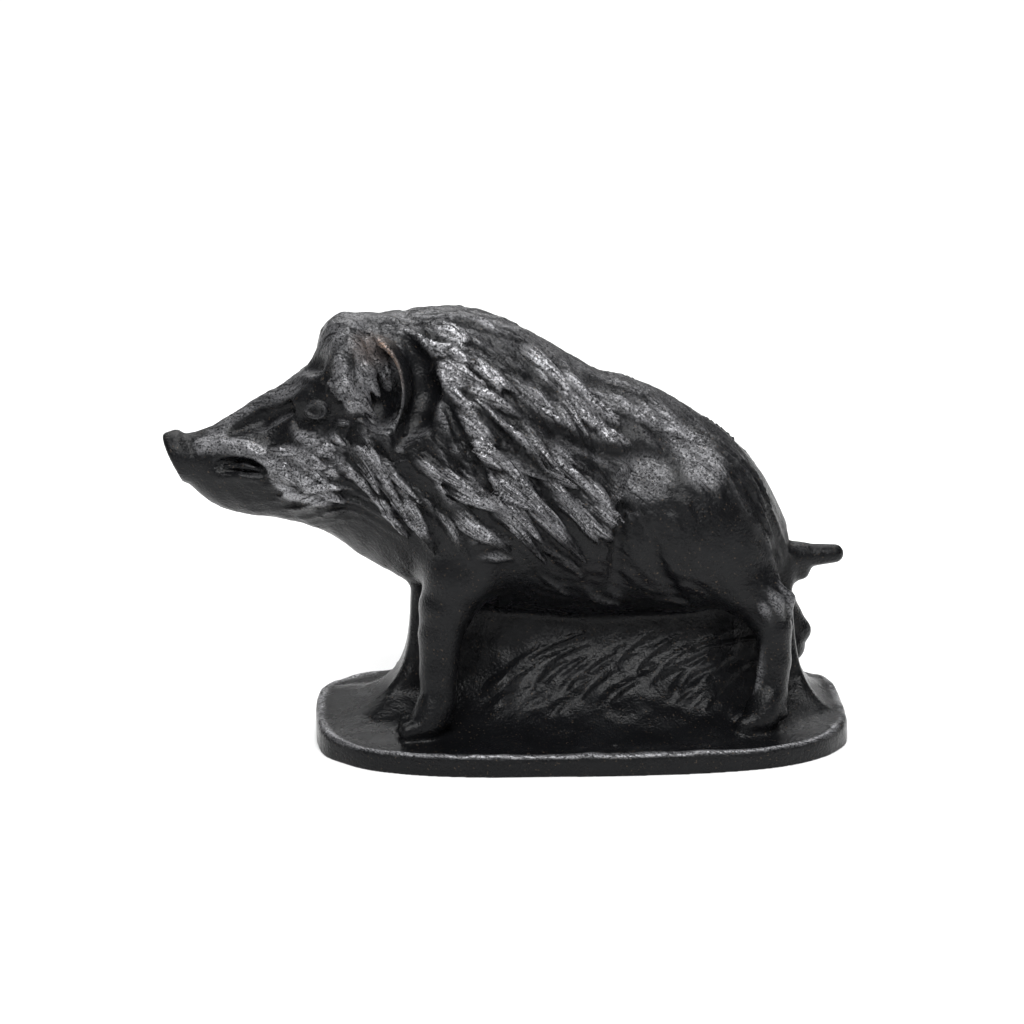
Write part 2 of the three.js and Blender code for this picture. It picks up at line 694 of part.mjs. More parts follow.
// The plan of the base is a rounded rectangle whose sides still bow a little.
function basePlate() {
  const outline = new THREE.Shape(
    Array.from({ length: BASE_SEGMENTS }, (_, i) => {
      const turn = (i / BASE_SEGMENTS) * 2 * Math.PI;
      const bow = (v) => Math.sign(v) * pow(abs(v), 2 / BASE_CORNER_POWER);
      const half = [BASE_LENGTH / 2 - BASE_EDGE_ROUNDING, BASE_WIDTH / 2 - BASE_EDGE_ROUNDING];
      return new THREE.Vector2(half[0] * bow(cos(turn)), half[1] * bow(sin(turn)));
    }),
  );
  const plate = new THREE.ExtrudeGeometry(outline, {
    depth: BASE_EDGE_HEIGHT - BASE_EDGE_ROUNDING,
    bevelSize: BASE_EDGE_ROUNDING,
    bevelThickness: BASE_EDGE_ROUNDING,
    bevelSegments: 3,
    steps: 1,
  });
  const below = new THREE.BoxGeometry(2 * BASE_LENGTH, 2 * BASE_WIDTH, 10).translate(0, 0, -5);
  return solidFrom(plate).subtract(solidFrom(below));
}

function sculptedBoar() {
  const grid = sampleGrid(sculpture);
  for (let pass = 0; pass < FILL_PASSES && fillPinches(grid) > 0; pass += 1);
  const { points, faces } = thin(surfaceNets(grid), SCULPT_FACES);
  const geometry = new THREE.BufferGeometry();
  geometry.setAttribute("position", new THREE.Float32BufferAttribute(faces.flat().flatMap((v) => points[v]), 3));
  return solidFrom(geometry);
}

const casting = new THREE.Mesh(
  geometryFrom(basePlate().add(sculptedBoar())),
  new THREE.MeshStandardMaterial({ color: 0x242424, roughness: 0.42, metalness: 0.35 }),
);
casting.name = "boar_and_base";

const boarFigurine = new THREE.Group();
boarFigurine.add(casting);

export default boarFigurine;
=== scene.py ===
"""A cast-iron boar figurine that stands with its base as one casting.

The boar faces -X, +Z is up, and the origin is the middle of the base's flat underside.
The form is worked out in millimetres as a distance field, the surface where the field is zero is
meshed, and the mesh is written in metres, as the frame asks.
"""

import logging
import math
from dataclasses import dataclass, field

import bpy
import numpy as np
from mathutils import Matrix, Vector


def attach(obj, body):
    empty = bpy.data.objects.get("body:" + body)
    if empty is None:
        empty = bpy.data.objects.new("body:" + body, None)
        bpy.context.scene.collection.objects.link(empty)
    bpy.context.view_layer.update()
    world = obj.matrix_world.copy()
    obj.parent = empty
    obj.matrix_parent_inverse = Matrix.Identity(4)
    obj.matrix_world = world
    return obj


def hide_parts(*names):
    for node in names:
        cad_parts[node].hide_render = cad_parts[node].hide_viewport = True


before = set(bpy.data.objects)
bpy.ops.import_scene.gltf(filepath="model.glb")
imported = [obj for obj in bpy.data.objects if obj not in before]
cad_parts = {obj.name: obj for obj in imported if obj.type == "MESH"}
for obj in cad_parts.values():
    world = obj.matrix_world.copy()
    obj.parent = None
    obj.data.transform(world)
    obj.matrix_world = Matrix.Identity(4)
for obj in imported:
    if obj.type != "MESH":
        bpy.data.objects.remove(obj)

LOG = logging.getLogger("boar")
NODE = "boar_and_base"
MM = 0.001

Array = np.ndarray
Point = tuple[Array, Array, Array]
Triple = tuple[float, float, float]


# Distances: each function returns millimetres, negative inside


def soften(a: Array, b: Array, radius: float) -> Array:
    """Joins two distances with a fillet: min(a, b) - h * h * radius / 4, h = 1 - |a - b| / radius.

    Args:
        a: The first distance.
        b: The second distance.
        radius: The fillet's size in millimetres.

    Returns:
        The joined distance.
    """
    overlap = np.maximum(radius - np.abs(a - b), 0.0) / radius
    return np.minimum(a, b) - overlap * overlap * radius / 4


def carve(a: Array, b: Array, radius: float) -> Array:
    """Cuts b out of a with an edge rounded by radius: -soften(-a, b)."""
    return -soften(-a, b, radius)


def ramp(value: Array, low: float, high: float) -> Array:
    """A smooth step from 0 at low to 1 at high: t * t * (3 - 2 t)."""
    t = np.clip((value - low) / (high - low), 0.0, 1.0)
    return t * t * (3 - 2 * t)


def noise(n: float) -> float:
    """A fixed number from 0 to 1 for each n: the fraction of 43758.5453 sin(12.9898 n)."""
    value = math.sin(n * 12.9898) * 43758.5453
    return value - math.floor(value)


def vary(n: float, spread: float) -> float:
    """A fixed factor for each n, from 1 - spread to 1 + spread."""
    return 1 - spread + 2 * spread * noise(n)


def near_side(p: Point) -> Point:
    """Mirrors the points onto the near side, where y is negative."""
    return p[0], -np.abs(p[1]), p[2]


def gap(p: Point, centre: Triple) -> Array:
    """The distance to a centre on the near side and its mirror image: sqrt(dx^2 + (|y| - |cy|)^2 + dz^2)."""
    across = np.abs(p[1]) - abs(centre[1])
    return np.sqrt((p[0] - centre[0]) ** 2 + across**2 + (p[2] - centre[2]) ** 2)


def leaf(q: Array, across: Array, half: float) -> tuple[Array, Array]:
    """The outline and section of a lock of hair or a blade of grass that runs to a point.

    The half width is half * sqrt(min(q / 0.22, 1)) * (1 - q)^0.55. Across it t goes from -1 to 1, and the
    height is 1 - t^2 above the middle line and sqrt(1 - t^2) below it, so that the lower edge is sharp.

    Args:
        q: The place along it, 0 at the root and 1 at the tip.
        across: The distance from its middle line.
        half: Its greatest half width.

    Returns:
        The place across it, t, and the height, 0 to 1.
    """
    width = half * np.sqrt(np.clip(q / 0.22, 0, 1)) * np.clip(1 - q, 0, 1) ** 0.55
    t = across / np.maximum(width, 1e-3)
    flank = np.clip(1 - t * t, 0, 1)
    return t, np.where(t > 0, np.sqrt(flank), flank)


def swell(p: Point, wavelength: float, seed: float) -> Array:
    """A soft random wave over space: a third of the sum of six sines in scattered directions.

    Args:
        p: The points, in millimetres.
        wavelength: The mean wavelength in millimetres.
        seed: Picks the directions and phases.

    Returns:
        Values of about -1 to 1.
    """
    total = np.zeros_like(p[0])
    for i in range(6):
        turn = 2 * math.pi * noise(seed + i + 0.1)
        lift = 2 * noise(seed + i + 0.4) - 1
        flat = math.sqrt(1 - lift * lift)
        pitch = 2 * math.pi / (wavelength * (0.7 + 0.6 * noise(seed + i + 0.7)))
        along = p[0] * flat * math.cos(turn) + p[1] * flat * math.sin(turn) + p[2] * lift
        total = total + np.sin(along * pitch + 6.283 * noise(seed + i + 0.9))
    return total / 3


@dataclass(frozen=True)
class Ripple:
    """A casting's slight unevenness: depth * swell, at one wavelength."""

    depth: float
    wavelength: float
    seed: float

    def at(self, p: Point) -> Array:
        """The heights in millimetres at the points."""
        return self.depth * swell(p, self.wavelength, self.seed)


@dataclass(frozen=True)
class Ellipsoid:
    """An ellipsoid that may be pitched about Y and then yawed about Z, in degrees."""

    centre: Triple
    radii: Triple
    pitch: float = 0.0
    yaw: float = 0.0

    def distance(self, p: Point) -> Array:
        """k (k - 1) / |gradient|, with k the length of the point scaled by the radii.

        Args:
            p: The points.

        Returns:
            The distances.
        """
        a, b = math.radians(self.pitch), math.radians(self.yaw)
        ca, sa, cb, sb = math.cos(a), math.sin(a), math.cos(b), math.sin(b)
        dx, dy, dz = (p[i] - self.centre[i] for i in range(3))
        u = (dx * ca * cb + dy * ca * sb - dz * sa) / self.radii[0]
        v = (dy * cb - dx * sb) / self.radii[1]
        w = (dx * sa * cb + dy * sa * sb + dz * ca) / self.radii[2]
        reach = np.sqrt(u * u + v * v + w * w)
        slope = np.sqrt((u / self.radii[0]) ** 2 + (v / self.radii[1]) ** 2 + (w / self.radii[2]) ** 2)
        return reach * (reach - 1) / np.maximum(slope, 1e-6)


@dataclass(frozen=True)
class Limb:
    """A chain of round cones through stations of x, y, z and radius, softly joined."""

    stations: tuple[tuple[float, float, float, float], ...]
    softness: float = 1.0

    def distance(self, p: Point) -> Array:
        """For each span: the gap to its axis at t in 0..1, less the radius there.

        Args:
            p: The points.

        Returns:
            The distances.
        """
        result = np.full_like(p[0], 1e3)
        for a, b in zip(self.stations[:-1], self.stations[1:]):
            axis = [b[i] - a[i] for i in range(3)]
            square = sum(v * v for v in axis)
            d = [p[i] - a[i] for i in range(3)]
            t = np.clip(sum(d[i] * axis[i] for i in range(3)) / square, 0, 1)
            reach = np.sqrt(sum((d[i] - t * axis[i]) ** 2 for i in range(3)))
            result = soften(result, reach - (a[3] + t * (b[3] - a[3])), self.softness)
        return result

    def moved(self, x: float, y: float) -> "Limb":
        """The same chain, set down at x and y."""
        return Limb(tuple((x + a, y + b, z, r) for a, b, z, r in self.stations), self.softness)


@dataclass(frozen=True)
class Step:
    """One step of modelling: a shape laid on or cut out, and the fillet where it meets the rest."""

    shape: Ellipsoid | Limb
    fillet: float
    cut: bool = False


def work(distance: Array, p: Point, steps: tuple[Step, ...]) -> Array:
    """Takes the steps in order: soften for a shape laid on, carve for one cut out.

    Args:
        distance: The form so far.
        p: The points.
        steps: The steps.

    Returns:
        The worked form.
    """
    for step in steps:
        join = carve if step.cut else soften
        distance = join(distance, step.shape.distance(p), step.fillet)
    return distance


@dataclass(frozen=True)
class PaintedHighlight:
    """A painted highlight about a shape: strength * (1 - ramp(distance to the shape, full, none))."""

    shape: Ellipsoid | Limb
    strength: float
    full: float
    none: float

    def at(self, p: Point) -> Array:
        """The painted highlight at the points, 0 to strength."""
        return self.strength * (1 - ramp(self.shape.distance(p), self.full, self.none))


@dataclass(frozen=True)
class Trunk:
    """Head and trunk as egg-shaped sections on stations along X."""

    # x, crest, keel, half width, height of the widest line
    stations: tuple[tuple[float, float, float, float, float], ...] = (
        (-96, 75.8, 65, 5, 71),
        (-90, 77.6, 59.4, 6.4, 69.5),
        (-82, 82.4, 56.2, 8.2, 69),
        (-74, 87.2, 55, 9.6, 69.5),
        (-67, 91.8, 53.4, 11.6, 71),
        (-61, 98.6, 50.8, 13.8, 74),
        (-54, 104, 45.8, 16.4, 75),
        (-44, 105.8, 39.8, 20, 71),
        (-32, 106.6, 34, 23, 66.5),
        (-20, 104, 31.6, 24.2, 64),
        (-8, 97.6, 30.4, 24.2, 61),
        (4, 90.4, 29.8, 23.2, 58),
        (16, 86.8, 30.2, 21.6, 56),
        (28, 79.8, 31.6, 20.2, 53),
        (38, 71.6, 34, 17.4, 51),
        (46, 61, 37.6, 12, 49),
        (50.4, 51.6, 42, 5, 47),
    )
    above_narrows: float = 0.3
    below_narrows: float = 0.1
    core: float = 0.3

    def section(self, x: Array) -> list[Array]:
        """Crest, keel, half width and widest height at x, by cubic spans between the stations.

        Args:
            x: The places along the trunk.

        Returns:
            The four values as arrays.
        """
        table = np.array(self.stations, np.float64)
        xs = table[:, 0]
        x = np.clip(x, xs[0], xs[-1])
        i = np.clip(np.searchsorted(xs, x) - 1, 0, len(xs) - 2)
        span = xs[i + 1] - xs[i]
        t = (x - xs[i]) / span
        values = []
        for column in range(1, 5):
            v = table[:, column]
            slope = np.gradient(v, xs)
            ends = (2 * t**3 - 3 * t**2 + 1) * v[i] + (3 * t**2 - 2 * t**3) * v[i + 1]
            tangents = (t**3 - 2 * t**2 + t) * slope[i] + (t**3 - t**2) * slope[i + 1]
            values.append((ends + span * tangents).astype(np.float32))
        return values

    def distance(self, p: Point) -> Array:
        """(1 - 1 / rho) r, with rho = 1 on the section's egg and r the distance to its axis.

        Args:
            p: The points.

        Returns:
            The distances.
        """
        crest, keel, half, wide = self.section(p[0])
        rise = p[2] - wide
        above = rise > 0
        height = np.where(above, crest - wide, wide - keel)
        t = np.abs(rise) / height
        narrows = np.where(above, self.above_narrows, self.below_narrows)
        width = half * (1 - narrows * np.minimum(t, 1) ** 2)
        rho = np.hypot(p[1] / width, t)
        outer = (1 - 1 / np.maximum(rho, self.core)) * np.hypot(p[1], rise)
        inner = (rho - 1) * np.minimum(half, height)
        distance = np.where(rho > self.core, outer, inner)
        return np.maximum(distance, np.maximum(p[0] - self.stations[-1][0], self.stations[0][0] - p[0]))


@dataclass(frozen=True)
class Lock:
    """One lock of hair: a curved ridge that runs from its root to a point."""

    x: float
    angle: float
    heading: float
    length: float
    half: float
    rise: float
    bend: float = 0.0
    wave: float = 0.0
    strands: float = 4.0


@dataclass(frozen=True)
class LockRow:
    """A row of locks whose roots lie from one place to another, as x and angle down from the crest."""

    start: tuple[float, float]
    end: tuple[float, float]
    count: int
    heading: float
    length: float
    half: float
    rise: float


@dataclass
class Coat:
    """The boar's hair: rows of locks, the long locks behind the ear and the coordinates they comb."""

    trunk: Trunk
    rows: tuple[LockRow, ...] = (
        LockRow((-47, 4), (12, 4), 9, 15, 17, 2.9, 0.7),
        LockRow((-42, 15), (20, 15), 9, 22, 18, 2.9, 1.2),
        LockRow((-55, 12), (-55, 46), 3, 24, 13, 2.8, 0.35),
        LockRow((-61, 12), (-59, 44), 3, 26, 10, 2.4, 0.45),
        LockRow((-78, 56), (-76, 96), 4, 26, 9, 2.0, 1.0),
        LockRow((-70, 58), (-68, 92), 4, 32, 10, 2.2, 1.2),
        LockRow((-66, 46), (-63, 76), 4, 34, 10, 2.3, 1.2),
        LockRow((-55, 60), (-51, 98), 5, 40, 12, 2.6, 1.5),
        LockRow((-48, 6), (-46, 34), 4, 14, 18, 3.0, 1.4),
        LockRow((-38, 4), (-40, 84), 8, 27, 19, 3.2, 2.0),
        LockRow((-29, 10), (-34, 98), 9, 31, 18, 3.3, 2.1),
        LockRow((-19, 6), (-25, 92), 9, 32, 18, 3.3, 2.1),
        LockRow((-9, 7), (-15, 88), 8, 31, 18, 3.2, 2.0),
        LockRow((1, 5), (-5, 82), 8, 30, 17, 3.0, 1.9),
        LockRow((13, 4), (6, 46), 5, 25, 18, 2.8, 1.4),
        LockRow((25, 3), (20, 28), 4, 24, 17, 2.5, 1.1),
        LockRow((34, 10), (37, 60), 5, 42, 11, 2.2, 0.9),
        LockRow((42, 34), (44, 84), 4, 58, 9, 2.0, 0.9),
        LockRow((-68, 72), (-66, 112), 4, 40, 11, 2.4, 1.6),
        LockRow((-58, 82), (-54, 116), 4, 46, 11, 2.6, 1.8),
        LockRow((-48, 90), (-44, 112), 4, 50, 12, 2.7, 1.8),
        LockRow((-36, 98), (-31, 112), 3, 46, 11, 2.4, 1.4),
        LockRow((-16, 98), (-4, 112), 3, 40, 12, 2.4, 1.1),
        LockRow((-12, 128), (14, 132), 5, 34, 12, 2.0, 1.0),
    )
    long_locks: tuple[Lock, ...] = (
        Lock(-23, 20, 28, 46, 2.9, 2.4, 0.006, 0.5, 5),
        Lock(-30, 34, 30, 34, 2.6, 2.2, 0.010, 0.5, 5),
        Lock(-32, 48, 34, 34, 2.4, 2.2, 0.004, 0.5, 4),
        Lock(-34, 62, 40, 30, 2.2, 2.0, 0.006, 0.5, 4),
    )
    root_jitter: float = 6.0
    heading_jitter: float = 14.0
    most_bend: float = 0.05
    most_wave: float = 0.7
    wave_length: float = 15.0
    strand_depth: float = 0.27
    grown: float = 0.62
    lie: float = 30.0
    # the undercoat's two sizes of ridge, their spacing and height, and how they bend and break
    undercoat: tuple[tuple[float, float], ...] = ((5.4, 1.25), (2.4, 0.5))
    ridge_bend: float = 0.55
    ridge_mean: float = 0.36
    # where the mane fades: below, in front, and behind a line that leans back
    mane_foot: tuple[float, float] = (50, 64)
    mane_front: tuple[float, float] = (-86, -72)
    mane_rear: tuple[float, float] = (6, 22)
    mane_lean: float = 0.35
    mane_middle: float = 60
    # the strip along the back
    crest_cover: float = 0.7
    crest_line: tuple[float, float] = (84, 96)
    crest_slope: float = 0.75
    crest_front: tuple[float, float] = (-66, -54)
    crest_rear: tuple[float, float] = (22, 36)
    # the thin hair behind the shoulder
    slack: float = 0.28
    slack_front: tuple[float, float] = (-32, -16)
    # bare places: about the eye, and the haunch behind the fold of the flank
    eye: Triple = (-64.5, -11.5, 84.7)
    eye_bare: tuple[float, float] = (4.5, 8.5)
    eye_clear: tuple[float, float] = (5, 9)
    haunch_front: tuple[float, float] = (7.5, 11)
    haunch_rear: tuple[float, float] = (26, 32)
    haunch_top: tuple[float, float] = (72, 78)
    locks: list[Lock] = field(default_factory=list)

    def __post_init__(self) -> None:
        """Works out every lock from the rows, with fixed small differences, then adds the long ones."""
        n = 0
        for row in self.rows:
            for i in range(row.count):
                n += 1
                q = (i + 0.5 + 0.5 * (noise(n) - 0.5)) / row.count
                shift = self.root_jitter * (noise(n + 0.13) - 0.5)
                self.locks.append(
                    Lock(
                        x=row.start[0] + (row.end[0] - row.start[0]) * q + shift,
                        angle=row.start[1] + (row.end[1] - row.start[1]) * q,
                        heading=row.heading + self.heading_jitter * (noise(n + 0.31) - 0.5),
                        length=row.length * vary(n + 0.57, 0.25),
                        half=row.half * vary(n + 0.83, 0.2),
                        rise=row.rise * vary(n + 0.71, 0.25),
                        bend=self.most_bend * (noise(n + 0.27) - 0.4),
                        wave=self.most_wave * noise(n + 0.21),
                        strands=4 + 2 * noise(n + 0.47),
                    )
                )
        self.locks.extend(self.long_locks)

    def cover(self, p: Point) -> Array:
        """How hairy the skin is, 0 to 1: the mane and neck fully, the haunch and belly a little.

        Args:
            p: The points.

        Returns:
            The cover.
        """
        behind = ramp(p[0] + self.mane_lean * (p[2] - self.mane_middle), *self.mane_rear)
        mane = ramp(p[2], *self.mane_foot) * (1 - 0.85 * behind) * ramp(p[0], *self.mane_front)
        crest = self.crest_cover * ramp(p[2] + self.crest_slope * p[0], *self.crest_line)
        crest = crest * ramp(p[0], *self.crest_front) * (1 - 0.7 * ramp(p[0], *self.crest_rear))
        hair = np.maximum(np.maximum(mane, crest), self.slack * ramp(p[0], *self.slack_front))
        return np.clip(hair, 0, 1) * ramp(gap(p, self.eye), *self.eye_bare)

    def fuzz(self, p: Point, along: Array, across: Array) -> Array:
        """Ridges along the lie of the hair: 1 - |sin| across it, bent and broken by soft waves.

        Args:
            p: The points.
            along: Distance along the lie.
            across: Distance across the lie.

        Returns:
            Heights in millimetres, about zero in the mean.
        """
        total = np.zeros_like(across)
        for i, (spacing, rise) in enumerate(self.undercoat):
            bend = self.ridge_bend * swell(p, 3.4 * spacing, 31 + 7 * i)
            bent = across / spacing + bend + 0.02 * along / spacing
            ridge = 1 - np.abs(np.sin(math.pi * bent))
            broken = 0.72 + 0.6 * swell(p, 2.6 * spacing, 47 + 9 * i)
            total = total + rise * (ridge - self.ridge_mean) * np.clip(broken, 0, 1.4)
        return total * self.cover(p) * (0.4 + 0.6 * ramp(np.abs(p[1]), 2, 9))

    def comb(self, p: Point) -> tuple[Array, Array, Array, Array]:
        """The coat's height and combed coordinates: the highest lock at each point gives them.

        Along a lock q = along / length, and leaf gives its width and section. The height is
        rise * section * ramp(q) * strands, so it grows out of the skin and stands proud at its tip.

        Args:
            p: The points.

        Returns:
            Height, distance along the lock, distance across it, and the lock's own number.
        """
        wide = self.trunk.section(p[0])[3]
        rise = p[2] - wide
        angle = np.arctan2(np.abs(p[1]), rise)
        radius = np.hypot(p[1], rise)
        height = np.zeros_like(p[0])
        lie = math.radians(self.lie)
        girth = angle * radius
        combed_along = p[0] * math.cos(lie) + girth * math.sin(lie)
        combed_across = girth * math.cos(lie) - p[0] * math.sin(lie)
        fuzz = self.fuzz(p, combed_along, combed_across)
        owner = np.zeros_like(p[0])
        for number, lock in enumerate(self.locks):
            near = np.nonzero((p[0] > lock.x - lock.half) & (p[0] < lock.x + lock.length))[0]
            if not len(near):
                continue
            c, s = math.cos(math.radians(lock.heading)), math.sin(math.radians(lock.heading))
            dx = p[0][near] - lock.x
            dg = (angle[near] - math.radians(lock.angle)) * radius[near]
            along = dx * c + dg * s
            q = along / lock.length
            sway = lock.wave * q * np.sin(2 * math.pi * along / self.wave_length + number)
            across = dg * c - dx * s - 0.5 * lock.bend * along * along - sway
            inside = (q > 0) & (q < 1) & (np.abs(across) < lock.half)
            near, q, along, across = near[inside], q[inside], along[inside], across[inside]
            t, profile = leaf(q, across, lock.half)
            strand = 1 + self.strand_depth * np.cos(math.pi * lock.strands * t + number)
            ridge = lock.rise * profile * ramp(q, 0, self.grown) * strand
            higher = ridge > height[near]
            spot = near[higher]
            height[spot] = ridge[higher]
            combed_along[spot] = along[higher]
            combed_across[spot] = t[higher] * lock.half
            owner[spot] = number + 1
        haunch = ramp(p[0], *self.haunch_front) * (1 - ramp(p[0], *self.haunch_rear))
        haunch = haunch * (1 - ramp(p[2], *self.haunch_top))
        height = height * ramp(gap(p, self.eye), *self.eye_clear) * (1 - haunch)
        return height + fuzz, combed_along, combed_across, owner


@dataclass(frozen=True)
class Face:
    """Snout, mouth, eyes and the grooves of the face, given on the near side."""

    nose_recess: Limb = Limb(((-84.0, -4.9, 77.8, 1.4), (-77.1, -5.2, 81.0, 2.7), (-70.0, -6.6, 84.0, 1.9)))
    bridge: Limb = Limb(((-88.0, -2.6, 77.4, 1.0), (-78.6, -2.6, 83.6, 1.8), (-69.5, -4.6, 88.2, 2.0)))
    upper_lip: Limb = Limb(
        (
            (-91.5, -4.2, 74.3, 1.0),
            (-86.2, -5.0, 75.2, 1.3),
            (-80.3, -7.4, 74.2, 1.6),
            (-77.0, -8.8, 72.4, 1.4),
            (-74.8, -9.8, 69.4, 1.0),
        )
    )
    mouth: Ellipsoid = Ellipsoid((-82.4, -8.6, 69.9), (6.9, 3.2, 2.4), 3, -12)
    lower_lip: Limb = Limb(((-87.4, -6.4, 66.9, 0.7), (-82.4, -7.7, 67.6, 0.9), (-77.6, -8.8, 67.0, 0.7)))
    tongue_side: Limb = Limb(((-86.0, -5.6, 69.4, 0.6), (-81.0, -6.8, 69.8, 0.8), (-77.4, -8.2, 69.2, 0.5)))
    # ridges of hair that sweep back from the corner of the mouth
    cheek: tuple[Limb, ...] = (
        Limb(
            (
                (-76.5, -8.9, 71.6, 0.8),
                (-71.9, -11.0, 70.5, 1.5),
                (-65.9, -13.9, 68.0, 1.5),
                (-61.4, -14.6, 64.8, 0.6),
            )
        ),
        Limb(((-73.6, -9.4, 67.6, 0.6), (-69.7, -10.6, 63.9, 1.3), (-62.2, -13.4, 62.6, 0.6))),
        Limb(((-71.0, -11.2, 74.4, 0.6), (-66.5, -13.4, 73.6, 1.2), (-60.4, -15.4, 70.4, 0.6))),
        Limb(((-67.6, -11.2, 78.2, 0.4), (-64.4, -12.8, 76.8, 1.0), (-58.6, -15.0, 73.2, 0.5))),
    )
    socket: Ellipsoid = Ellipsoid((-64.0, -12.9, 84.95), (2.1, 2.1, 1.7))
    eyeball: Ellipsoid = Ellipsoid((-63.6, -11.9, 84.8), (1.5, 1.5, 1.5))
    eye_facing: Triple = (-0.351, -0.923, 0.151)
    lid_radius: float = 2.4
    lid_half: float = 0.6
    lid_squint: float = 1.4
    snout_centre: Triple = (-96.6, 0.0, 71.2)
    snout_facing: Triple = (-0.902, 0.0, -0.431)
    snout_radius: float = 6.1
    snout_half: float = 2.2
    snout_flare: float = 0.14
    snout_edge: float = 1.4
    nostril: Ellipsoid = Ellipsoid((-100.4, -2.3, 70.8), (1.6, 1.1, 1.5))

    def lid(self, p: Point) -> Array:
        """A ring about the eye, squeezed in height: hypot(across - radius, along) - half.

        Args:
            p: The points, mirrored onto the near side.

        Returns:
            The distances.
        """
        d = [p[i] - self.socket.centre[i] for i in range(3)]
        d[2] = d[2] * self.lid_squint
        along = sum(d[i] * self.eye_facing[i] for i in range(3))
        across = np.sqrt(np.maximum(sum(v * v for v in d) - along * along, 0))
        return np.hypot(across - self.lid_radius, along) - self.lid_half

    def bright_marks(self, p: Point) -> Array:
        """Painted highlights on the lip, bridge, cheeks and lids, kept off the recess and the mouth.

        Args:
            p: The points, mirrored onto the near side.

        Returns:
            Values from 0 to 1.
        """
        # painted highlights on the upper lip, the bridge, the cheek ridges and the lids
        highlights = [PaintedHighlight(self.upper_lip, 0.6, 0.3, 1.5), PaintedHighlight(self.bridge, 0.35, 0.3, 2.2)]
        highlights += [PaintedHighlight(ridge, 0.9, 0.3, 1.6) for ridge in self.cheek]
        lids = 0.08 * (1 - ramp(self.lid(p), 0.2, 0.8))
        result = np.maximum.reduce([lids, *(highlight.at(p) for highlight in highlights)])
        return result * ramp(self.nose_recess.distance(p), 0.0, 1.2) * ramp(self.mouth.distance(p), 0.0, 0.8)

    def snout(self, p: Point) -> Array:
        """A disc: the larger of across - radius - flare * along and |along| - half, softly.

        Args:
            p: The points.

        Returns:
            The distances.
        """
        d = [p[i] - self.snout_centre[i] for i in range(3)]
        along = sum(d[i] * self.snout_facing[i] for i in range(3))
        across = np.sqrt(np.maximum(sum(v * v for v in d) - along * along, 0))
        rim = self.snout_radius + self.snout_flare * along - across
        disc = -soften(rim, self.snout_half - np.abs(along), self.snout_edge)
        return carve(disc, self.nostril.distance(near_side(p)), 0.5)

    def add(self, distance: Array, p: Point) -> Array:
        """Cuts the grooves, mouth and sockets, and lays on the lips, lids and eyes.

        Args:
            distance: The head so far.
            p: The points, mirrored onto the near side.

        Returns:
            The head with its face.
        """
        steps = (
            Step(self.nose_recess, 1.0, cut=True),
            Step(self.upper_lip, 2.4),
            Step(self.mouth, 0.8, cut=True),
            Step(self.lower_lip, 0.8),
            Step(self.tongue_side, 0.5),
            *(Step(ridge, 1.6) for ridge in self.cheek),
            Step(self.socket, 0.8, cut=True),
            Step(self.eyeball, 0.3),
        )
        return soften(work(distance, p, steps), self.lid(p), 1.0)


@dataclass(frozen=True)
class Ear:
    """A cup that opens forwards and outwards, with a deep gap behind its rim."""

    shell: Ellipsoid = Ellipsoid((-51, -13.5, 91), (9, 9, 11.6))
    hollow: Ellipsoid = Ellipsoid((-49.4, -18.0, 90.6), (5.6, 8.4, 10.0))
    gap: Limb = Limb(
        (
            (-42.2, -9.4, 101.2, 1.6),
            (-39.6, -13.0, 96.0, 3.2),
            (-38.8, -15.6, 90.0, 4.2),
            (-40.6, -17.8, 84.0, 3.6),
            (-44.2, -19.0, 78.5, 1.8),
        ),
        1.5,
    )
    half_wall: float = 0.9
    opens: Triple = (-0.622, -0.783, -0.020)
    rim_front: float = -50.5
    # how far the rim's painted highlight and its wear reach: fully, and at all
    rim_reach: tuple[float, float] = (0.9, 1.9)
    # the far ear hangs a little lower
    far_drop: float = 2.4
    tufts: tuple[Limb, ...] = (
        Limb(((-54.6, -11.4, 100.0, 1.2), (-51.8, -13.0, 94.0, 2.1), (-49.0, -12.8, 88.4, 0.6))),
        Limb(((-55.6, -13.2, 93.5, 1.0), (-53.0, -14.2, 88.0, 1.9), (-50.0, -14.0, 83.4, 0.5))),
        Limb(((-58.2, -13.0, 98.0, 0.8), (-56.8, -14.6, 92.0, 1.6), (-55.4, -14.6, 86.0, 0.5))),
        Limb(((-51.0, -9.8, 101.0, 0.9), (-48.8, -10.6, 95.6, 1.2), (-47.0, -10.8, 90.4, 0.4))),
    )

    def place(self, p: Point) -> Point:
        """Mirrors the points onto the near ear, with the far ear's drop."""
        return p[0], -np.abs(p[1]), p[2] + np.where(p[1] > 0, self.far_drop, 0)

    def front(self, p: Point) -> Array:
        """The distance in front of the plane that cuts the shell open."""
        return sum((p[i] - self.shell.centre[i]) * self.opens[i] for i in range(3)) - 1

    def rim(self, p: Point) -> Array:
        """How close a placed point is to the shell's free rim, 0 to 1."""
        behind = 1 - ramp(self.rim_front - p[0], -2, 0)
        return (1 - ramp(np.hypot(self.shell.distance(p), self.front(p)), *self.rim_reach)) * behind

    def add(self, distance: Array, p: Point) -> Array:
        """Cuts the gap, joins the rear part of the shell, hollows it and adds its tufts.

        Args:
            distance: The head so far.
            p: The placed points.

        Returns:
            The head with its ear.
        """
        wall = -soften(self.half_wall - np.abs(self.shell.distance(p)), -self.front(p), 1)
        wall = -soften(-wall, p[0] - self.rim_front, 2)
        result = soften(carve(distance, self.gap.distance(p), 2), wall, 1.2)
        return work(result, p, (Step(self.hollow, 1.6, cut=True), *(Step(tuft, 1.6) for tuft in self.tufts)))


